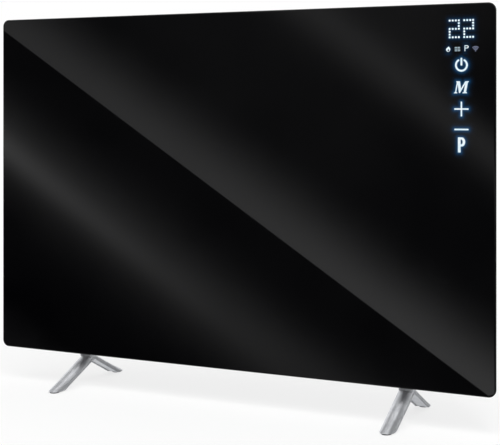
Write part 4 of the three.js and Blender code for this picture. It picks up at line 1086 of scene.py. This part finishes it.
def socket_screw():
    profile = [
        (-20.0, 2.9), (-0.001, 3.0), (0, 5.9), (0.3, 6.0), (0.9, 5.9), (1.9, 5.2), (2.8, 4.2),
        (3.45, 3.3), (BUTTON_HEAD, 2.9), (BUTTON_HEAD, 1.0),
    ]
    screw = make_body("socket_screw", turned_rings(profile, 48, 0, 0, 0), black_screw)
    cut(screw, turned_rings([(1.4, 1.9), (1.6, 2.25), (4.2, 2.3)], 6, 0, 0, 0))
    soften(screw, 0.1, 35)
    return screw


# %% Set them on their places
def screw_seats(names, head):
    """The point under each screw's head, from the box of its measured solid."""
    middles = [middle_mm(name) for name in names]
    return [(x, box_mm(name)[1][1] - head, z) for name, (x, _, z) in zip(names, middles)]


cover_screws = [f"cover_screw_{k}" for k in range(1, 7)]
hanger_screws = [f"hanger_screw_{side}_{k}" for side in ("left", "right") for k in (1, 2)]
foot_screws = [f"foot_screw_{side}_{k}" for side in ("left", "right") for k in (1, 2)]
pan_heads = repeat(
    "pan_head_screws", cross_screw(), screw_seats(cover_screws + hanger_screws, PAN_HEAD),
    black_screw, (0.0, 1.5, 0.0), 4,
)
seat(pan_heads, "black_screw", *cover_screws, *hanger_screws)
button_heads = repeat(
    "button_head_screws", socket_screw(), screw_seats(foot_screws, BUTTON_HEAD), black_screw,
    (0.0, 1.0, 0.0), 7,
)
seat(button_heads, "black_screw", *foot_screws)

# %% [markdown]
# ## The mains switch
#
# A rocker switch is snapped into the right-hand side. Its bezel is a moulded frame with eased
# edges; the rocker is dished between its two ends and carries the printed marks I and O.

# %% Build the switch housing
def side_rings(y0, y1, z0, z1, radius, levels, steps=6):
    """Rings of a rounded slab along X; levels lists (x, inset)."""
    return [
        [(x, y, z) for y, z in inset_outline(y0, y1, z0, z1, radius, d, steps)] for x, d in levels
    ]


SWITCH_WALL = 1.3
BEZEL = 1.5
(SWITCH_INNER, BEZEL_Y0, BEZEL_Z0), (BEZEL_FACE, BEZEL_Y1, BEZEL_Z1) = box_mm("switch_body")
BODY_MARGIN = (1.3, 1.7)


def switch_housing():
    seat_x = BEZEL_FACE - BEZEL
    levels = [
        (seat_x, 0.15), (seat_x + 0.15, 0), (BEZEL_FACE - 0.7, 0.05), (BEZEL_FACE - 0.25, 0.22),
        (BEZEL_FACE, 0.7),
    ]
    rim = side_rings(BEZEL_Y0, BEZEL_Y1, BEZEL_Z0, BEZEL_Z1, 1.8, levels)
    bezel = make_body("switch_housing", rim, black_plastic)
    y0, y1 = BEZEL_Y0 + BODY_MARGIN[0], BEZEL_Y1 - BODY_MARGIN[0]
    z0, z1 = BEZEL_Z0 + BODY_MARGIN[1], BEZEL_Z1 - BODY_MARGIN[1]
    body = side_rings(y0, y1, z0, z1, 0.6, [(SWITCH_INNER, 0.3), (seat_x + 0.5, 0)])
    combine(bezel, make_body("box", body), "UNION")
    cut(bezel, side_rings(
        y0 + SWITCH_WALL, y1 - SWITCH_WALL, z0 + SWITCH_WALL, z1 - SWITCH_WALL, 0.7,
        [(SWITCH_INNER + SWITCH_WALL, 0), (BEZEL_FACE - 0.5, 0), (BEZEL_FACE + 0.1, -0.5)],
    ))
    soften(bezel, 0.1)
    return bezel


seat(switch_housing(), "black_plastic", "switch_body")

# %% Build the rocker and its marks
ROCKER_PIVOT = Vector((371.5, -17.05, 200.0))
ROCKER_TILT = math.radians(11.0)
ROCKER_HALF = 6.6
ROCKER_FACE = 4.6
ROCKER_DIP = 1.0
ROCKER_WIDTH = 9.4
ROCKER_SKIRT = 1.2
ROCKER_KEEL = 4.5
ROCKER_PIN = 1.3


def rocker_point(out, across, up):
    """From the rocker's own frame to its place at rest, with the upper end pressed."""
    c, s = math.cos(ROCKER_TILT), math.sin(ROCKER_TILT)
    x, y, z = ROCKER_PIVOT
    return x + out * c - up * s, y + across, z + out * s + up * c


def rocker_face(up):
    return ROCKER_FACE - ROCKER_DIP * (1 - (up / ROCKER_HALF) ** 2)


def rocker():
    face = [(rocker_face(up), up) for up in np.linspace(ROCKER_HALF - 0.3, -ROCKER_HALF + 0.3, 21)]
    side = [
        (ROCKER_FACE - 0.35, -ROCKER_HALF), (-ROCKER_SKIRT, -ROCKER_HALF + 0.5),
        (-ROCKER_KEEL, -1.6), (-ROCKER_KEEL, 1.6),
        (-ROCKER_SKIRT, ROCKER_HALF - 0.5), (ROCKER_FACE - 0.35, ROCKER_HALF),
    ]
    eased = ((-1, 0.35), (-0.97, 0.12), (-0.92, 0.0), (0.92, 0.0), (0.97, 0.12), (1, 0.35))
    rings = []
    for across, shrink in eased:
        ring = []
        for out, up in face + side:
            reach = math.hypot(out, up)
            keep = (reach - shrink) / reach
            ring.append(rocker_point(out * keep, across * ROCKER_WIDTH / 2, up * keep))
        rings.append(ring)
    piece = make_body("rocker_cap", rings, black_plastic, 40)
    pin = arc(0, 0, ROCKER_PIN, ROCKER_PIN, full_turn(24))
    pins = [
        [rocker_point(out, across, up) for out, up in pin]
        for across in (-ROCKER_WIDTH / 2 - 1.1, ROCKER_WIDTH / 2 + 1.1)
    ]
    combine(piece, make_body("pins", pins), "UNION")
    smooth(piece, 40)
    return piece


def printed_line(name, path, half_width, closed):
    """A raised line of paint that follows (across, up) points on the dished face."""
    rings = []
    count = len(path)
    for k, (across, up) in enumerate(path):
        before = path[k - 1] if closed or k else path[k]
        after = path[(k + 1) % count] if closed or k < count - 1 else path[k]
        step = Vector((after[0] - before[0], after[1] - before[1])).normalized()
        a0, u0 = across - step.y * half_width, up + step.x * half_width
        a1, u1 = across + step.y * half_width, up - step.x * half_width
        rings.append([
            rocker_point(rocker_face(u) + lift, a, u)
            for a, u, lift in ((a0, u0, 0.04), (a1, u1, 0.04), (a1, u1, -0.06), (a0, u0, -0.06))
        ])
    vertices, faces = loft(rings)
    if closed:
        faces = faces[:-2] + [
            ((count - 1) * 4 + i, (count - 1) * 4 + (i + 1) % 4, (i + 1) % 4, i) for i in range(4)
        ]
    return make_piece(name, vertices, faces, white_plastic)


seat(rocker(), "black_plastic", "switch_rocker", body="rocker")
on_mark = printed_line("on_mark", [(0.0, up) for up in np.linspace(2.4, 5.0, 8)], 0.32, False)
off_mark = printed_line("off_mark", arc(0.0, -3.7, 1.35, 1.35, full_turn(40)), 0.3, True)
seat(on_mark, "white_plastic", body="rocker")
seat(off_mark, "white_plastic", body="rocker")

# %% [markdown]
# ## Wall hangers
#
# Each is a strip of galvanised sheet bent to a hat, with a keyhole for a wall screw.

# %% Bend the hangers
HANGER_SHEET = 1.5
HANGER_FLANGE = 15.0
HANGER_BEND = 1.2
KEYHOLE_HEAD = 5.2
KEYHOLE_SLOT = 5.4
KEYHOLE_RISE = 12.0


def bent_strip(corners, thickness, bend, steps=6):
    """A closed section that follows a line of corners, each of them bent round a small radius."""
    sides = {1: [], -1: []}
    corners = [Vector(corner) for corner in corners]
    runs = [(b - a).normalized() for a, b in zip(corners[:-1], corners[1:])]
    for k, corner in enumerate(corners):
        came, goes = runs[max(k - 1, 0)], runs[min(k, len(runs) - 1)]
        turn = 1 if came.cross(goes) > 0 else -1
        middle = bend + thickness / 2
        hub = corner + (goes - came).normalized() * middle * math.sqrt(2)
        start = math.degrees(math.atan2(-came.x * turn, came.y * turn))
        for side in sides:
            if came is goes:
                sides[side].append(corner + Vector((-came.y, came.x)) * side * thickness / 2)
                continue
            radius = middle - side * turn * thickness / 2
            sides[side] += arc(*hub, radius, radius, sweep(start, start + 90 * turn, steps))
    return sides[1] + sides[-1][::-1]


def hanger(name):
    (x0, y0, z0), (x1, y1, z1) = box_mm(name)
    t = HANGER_SHEET / 2
    web = HANGER_FLANGE - HANGER_SHEET / 2
    corners = [
        (x0, y0 + t), (x0 + web, y0 + t), (x0 + web, y1 - t),
        (x1 - web, y1 - t), (x1 - web, y0 + t), (x1, y0 + t),
    ]
    section = bent_strip(corners, HANGER_SHEET, HANGER_BEND)
    rings = [[(x, y, z) for x, y in section] for z in (z0, z1)]
    piece = make_body(name + "_sheet", rings, zinc_steel)
    middle, hole_z = (x0 + x1) / 2, (z0 + z1) / 2 - KEYHOLE_RISE / 2
    top = hole_z + KEYHOLE_RISE
    mouth = math.degrees(math.asin(KEYHOLE_SLOT / 2 / KEYHOLE_HEAD))
    keyhole = (
        arc(middle, hole_z, KEYHOLE_HEAD, KEYHOLE_HEAD, sweep(90 - mouth, mouth - 270, 31))
        + arc(middle, top, -KEYHOLE_SLOT / 2, KEYHOLE_SLOT / 2, sweep(0, 180, 12))
    )
    cut(piece, [[(x, y, z) for x, z in keyhole] for y in (y1 - HANGER_SHEET - 2, y1 + 2)])
    soften(piece, 0.2)
    return piece


for side in ("left", "right"):
    seat(hanger("hanger_plate_" + side), "zinc_steel", "hanger_plate_" + side)

# %% [markdown]
# ## Under the casing: lead gland and room sensor

# %% Turn the gland and the sensor cap
def under_casing(name, node, outer, bore=0):
    """A turned part that hangs from the bottom of the casing; outer lists (height, radius)."""
    low, high = box_mm(node)
    x, y, _ = middle_mm(node)
    piece = make_body(name, turned_rings(outer, 64, x, y, low[2], "Z"), black_plastic)
    if bore:
        hole = [(-1, bore + 1.2), (0.8, bore), (high[2] - low[2] + 1, bore)]
        cut(piece, turned_rings(hole, 48, x, y, low[2], "Z"))
    return piece, Vector((x, y, low[2]))


gland, gland_foot = under_casing("lead_gland", "cord_gland", [
    (0.0, 4.8), (0.3, 5.3), (0.9, 5.6), (5.2, 6.9), (6.3, 7.15), (6.5, 8.4), (6.8, 8.9), (7.2, 9.0),
    (8.6, 9.0), (9.0, 8.8), (9.01, 6.0), (18.5, 6.0),
], 4.2)
grooves = []
for angle in full_turn(16):
    turn = Matrix.Rotation(math.radians(angle), 3, "Z")
    rings = turned_rings([(0.5, 0.35), (3.0, 0.5), (5.6, 0.6)], 10, 6.7, 0, 0, "Z")
    grooves.append([[turn @ Vector(p) + gland_foot for p in ring] for ring in rings])
combine(gland, make_piece("grooves", *gather(grooves)), "DIFFERENCE")
soften(gland, 0.12, 35)
seat(gland, "black_plastic", "cord_gland")

sensor, _ = under_casing("sensor_cap", "room_sensor", [
    (0.0, 1.6), (0.12, 2.1), (0.5, 2.6), (1.0, 2.9), (1.6, 3.0), (2.0, 3.0), (2.05, 2.6),
    (2.45, 2.6), (2.5, 3.0), (3.1, 3.0), (3.15, 2.6), (3.55, 2.6), (3.6, 3.0), (4.2, 3.0),
    (4.25, 2.6), (4.65, 2.6), (4.7, 3.0), (5.55, 3.05), (5.62, 4.6), (5.8, 4.9), (6.1, 5.0),
    (6.75, 5.0), (6.95, 4.85), (7.0, 3.0), (15.0, 3.0),
])
soften(sensor, 0.06, 35)
seat(sensor, "black_plastic", "room_sensor")

# %% Mould the four foot pads
PAD_GROOVE = 0.35
PAD_GROOVE_PITCH = 3.2


def foot_pad(node):
    (x0, y0, z0), (x1, y1, z1) = box_mm(node)
    plan = outline(x0, x1, y0, y1, (x1 - x0) / 2 - 0.01, 12)
    middle = Vector(((x0 + x1) / 2, (y0 + y1) / 2))
    levels = ((0.0, 0.45), (0.08, 0.16), (0.25, 0.02), (z1 - z0 - 0.15, 0.0), (z1 - z0, 0.12))
    rings = [
        [(*(Vector(p) + (middle - Vector(p)).normalized() * inset), z0 + height) for p in plan]
        for height, inset in levels
    ]
    piece = make_body(node.replace("foot_pad", "rubber_pad"), rings, rubber, 50)
    groove = ((-0.5, -0.2), (0.5, -0.2), (0.3, PAD_GROOVE), (-0.3, PAD_GROOVE))
    for k in (-1, 0, 1):
        y = middle.y + PAD_GROOVE_PITCH * k
        cut(piece, [[(x, y + a, z0 + b) for a, b in groove] for x in (x0 - 1, x1 + 1)])
    return piece


for end in ("front", "back"):
    for side in ("left", "right"):
        node = f"foot_pad_{end}_{side}"
        seat(foot_pad(node), "rubber", node)

# %% [markdown]
# ## Floor, light and reflections
#
# A pale floor and four soft lamps: one overhead, a tall strip on the right, a key on the left and
# one behind. Black glass shows only what it mirrors, so a photographer sets cards in front of it:
# here one card, seen by reflections alone, whose shades make the long diagonal sheen.

# %% Pale floor
WHITE = (1, 1, 1, 1)
FLOOR_RADII = (7.0, 2.0, 0.5)
floor_material, tree, shader = new_material(
    "pale_floor", Base_Color=linear("#f3f3f2"), Roughness=0.9,
)
radial = add_node(
    tree, "ShaderNodeVectorMath", {"operation": "LENGTH"}, i0=object_point(tree),
).outputs["Value"]
away = add_node(
    tree, "ShaderNodeMapRange", {"interpolation_type": "SMOOTHSTEP"}, Value=radial, i1=0.25,
    i2=1.4, i3=0.74, i4=1.0,
).outputs[0]
seen = add_node(tree, "ShaderNodeLightPath").outputs["Is Camera Ray"]
share = maths(tree, "MULTIPLY", away, seen)
plain_white = add_node(tree, "ShaderNodeEmission", Color=WHITE, Strength=1.0)
whitened = add_node(
    tree, "ShaderNodeMixShader", i0=share, i1=shader.outputs[0], i2=plain_white.outputs[0],
)
surface_output = next(n for n in tree.nodes if n.type == "OUTPUT_MATERIAL")
tree.links.new(whitened.outputs[0], surface_output.inputs["Surface"])

floor_points, floor_faces = loft([
    [(x / MM, y / MM, 0) for x, y in arc(0, 0, radius, radius, full_turn(96))]
    for radius in FLOOR_RADII
])
floor = make_piece("floor", floor_points, floor_faces[:-2] + floor_faces[-1:], floor_material)
if floor.data.polygons[0].normal.z < 0:
    floor.data.flip_normals()
floor.visible_glossy = False

# %% World: white to the camera, studio grey to everything else
LEFT_WEIGHT, ABOVE_WEIGHT, BELOW_WEIGHT = 0.9, 0.45, 0.25
DARK_AT, WHITE_AT, DARK_LEVEL = -0.5, 0.55, 0.06
STUDIO_LEVEL = 0.62
COOL_WHITE = (0.98, 0.99, 1.0, 1)
world = bpy.data.worlds.new("studio")
bpy.context.scene.world = world
world.use_nodes = True
tree = world.node_tree
tree.nodes.clear()


def backdrop(colour, strength):
    return add_node(tree, "ShaderNodeBackground", Color=colour, Strength=strength).outputs[0]


# Metal mirrors a room that is white on the left and above, pale below and dark on the right.
direction = add_node(tree, "ShaderNodeTexCoord").outputs["Generated"]
axes = add_node(tree, "ShaderNodeSeparateXYZ", Vector=direction).outputs
above = maths(tree, "MULTIPLY", axes["Z"], ABOVE_WEIGHT)
below = maths(tree, "MULTIPLY", axes["Z"], -BELOW_WEIGHT)
upright = maths(tree, "MAXIMUM", above, below)
toward = maths(tree, "MULTIPLY_ADD", axes["X"], -LEFT_WEIGHT, upright)
glossy_level = add_node(
    tree, "ShaderNodeMapRange", Value=toward, i1=DARK_AT, i2=WHITE_AT, i3=DARK_LEVEL, i4=1.0,
).outputs[0]
path = add_node(tree, "ShaderNodeLightPath").outputs
first = add_node(
    tree, "ShaderNodeMixShader", i0=path["Is Glossy Ray"], i1=backdrop(COOL_WHITE, STUDIO_LEVEL),
    i2=backdrop(COOL_WHITE, glossy_level),
)
second = add_node(
    tree, "ShaderNodeMixShader", i0=path["Is Camera Ray"], i1=first.outputs[0],
    i2=backdrop(WHITE, 1.0),
)
output = add_node(tree, "ShaderNodeOutputWorld")
tree.links.new(second.outputs[0], output.inputs["Surface"])

# %% Four soft lamps
def soft_box(name, place, target, size, radiance):
    """An area lamp aimed at a point; radiance is how bright its face looks."""
    data = bpy.data.lights.new(name, "AREA")
    data.shape = "RECTANGLE"
    data.size, data.size_y = size
    data.energy = radiance * math.pi * size[0] * size[1]
    lamp = show(name, data)
    lamp.location = place
    lamp.rotation_euler = (Vector(target) - Vector(place)).to_track_quat("-Z", "Y").to_euler()


soft_box("overhead", (-0.3, -0.75, 2.2), (0, 0, 0.1), (1.5, 1.0), 3.4)
soft_box("strip", (0.85, -0.9, 1.9), (0, 0, 0.05), (0.4, 1.6), 8.0)
soft_box("key", (-1.9, -1.2, 1.5), (0, 0, 0.2), (0.9, 1.1), 1.2)
soft_box("rear", (1.0, 2.2, 1.6), (0, 0, 0.25), (1.8, 1.2), 1.6)

# %% The card that the glass mirrors
CARD_AWAY = 300.0
DIAGONAL_FROM = Vector((-384.6, 485.0))
DIAGONAL_TO = Vector((377.7, 1.3))
GLASS_SHADE = 4.0
MIRRORED_SHARE = 0.043
FIRST_SHARE, LAST_SHARE, CARD_REACH = -0.1, 1.1, 425
FADE = 0.6


def bell(distance, width):
    return math.exp(-((distance / width) ** 2))


def ease_in(value, start, end):
    t = min(max((value - start) / (end - start), 0.0), 1.0)
    return t * t * (3 - 2 * t)


def sheen(offset, along):
    """Screen shade at a distance from the diagonal, and at a share of the way down along it."""
    if offset < 0:
        wide = 23 * bell(offset + 130, 52 if offset > -130 else 75)
        ridge = 21 * min(max(1.32 - 1.67 * along, 0), 1.2) * bell(offset + 152, 26)
        corner = 9 * ease_in(-offset, 330, 400)
        return 7 - 3 * ease_in(-offset, 180, 290) + corner + wide + ridge
    calm = 10 + 3 * ease_in(along, 0.15, 0.4) - 6 * ease_in(along, 0.6, 0.8)
    edge = (40 + 13 * along - calm) * (1 + math.cos(math.pi * min(offset / 118, 1))) / 2
    centre = 318 - 66 * along
    beyond = (8 - 7 * ease_in(along, 0.62, 0.8)) * ease_in(offset, centre - 10, centre + 40)
    second = (33 - calm) * bell(offset - centre, 34 if offset < centre else 28)
    return calm + edge + beyond + second


def studio_level(x, y, z):
    """How bright the studio is in a direction, as in the world above."""
    upright = max(ABOVE_WEIGHT * z, -BELOW_WEIGHT * z)
    toward = (upright - LEFT_WEIGHT * x) / math.sqrt(x * x + y * y + z * z)
    share = min(max((toward - DARK_AT) / (WHITE_AT - DARK_AT), 0), 1)
    return DARK_LEVEL + (1 - DARK_LEVEL) * share


card_material = bpy.data.materials.new("reflection_card")
card_material.use_nodes = True
tree = card_material.node_tree
tree.nodes.clear()
level = add_node(tree, "ShaderNodeAttribute", {"attribute_name": "level"}).outputs["Fac"]
emission = add_node(tree, "ShaderNodeEmission", Color=WHITE, Strength=level)
card_output = add_node(tree, "ShaderNodeOutputMaterial")
tree.links.new(emission.outputs[0], card_output.inputs["Surface"])

# %% Lay the card out point by point
# Each point of the card lies where the camera sees it mirrored at a point of the glass.
# Past the glass's edges it fades into the studio's own light.
spread = (CAMERA_AWAY + CARD_AWAY) / CAMERA_AWAY
along_diagonal = (DIAGONAL_TO - DIAGONAL_FROM).normalized()
above_diagonal = Vector((-along_diagonal.y, along_diagonal.x))
diagonal_length = (DIAGONAL_TO - DIAGONAL_FROM).length
offsets = [
    *np.arange(-960, -420, 45), *np.arange(-420, -1, 9), -0.6, 0.6, *np.arange(6, 420, 9),
    *np.arange(CARD_REACH, 980, 45),
]
shares = np.linspace(FIRST_SHARE - FADE, LAST_SHARE + FADE, 56)
card_points, card_levels = [], []
for offset in offsets:
    for share in shares:
        on_panel = DIAGONAL_FROM + along_diagonal * share * diagonal_length
        on_panel += above_diagonal * offset
        x = CAMERA_SIDE + (on_panel.x - CAMERA_SIDE) * spread
        z = CAMERA_ABOVE_GLASS_FOOT + (on_panel.y - CAMERA_ABOVE_GLASS_FOOT) * spread
        card_points.append((x, GLASS_FRONT - CARD_AWAY, z + GLASS_BOTTOM))
        mirrored = shade_level(sheen(offset, share)) - shade_level(GLASS_SHADE)
        beside = (abs(offset) - CARD_REACH) / diagonal_length
        fade = ease_in(max(FIRST_SHARE - share, share - LAST_SHARE, beside), 0, FADE)
        own_level = max(mirrored, 0) / MIRRORED_SHARE * (1 - fade)
        card_levels.append(own_level + studio_level(x, -CARD_AWAY, z) * fade)
card_faces = grid_faces(len(offsets), len(shares))
card = make_piece("reflection_card", card_points, card_faces, card_material)
holder = card.data.attributes.new("level", "FLOAT", "POINT")
holder.data.foreach_set("value", np.array(card_levels, dtype=np.float32))
for ray in ("camera", "diffuse", "transmission", "volume_scatter", "shadow"):
    setattr(card, "visible_" + ray, False)
print("card", len(card_faces), "faces")

# %% [markdown]
# ## Finish
#
# The picture keeps plain screen colours.

# %% Keep plain screen colours
bpy.context.scene.view_settings.view_transform = "Standard"
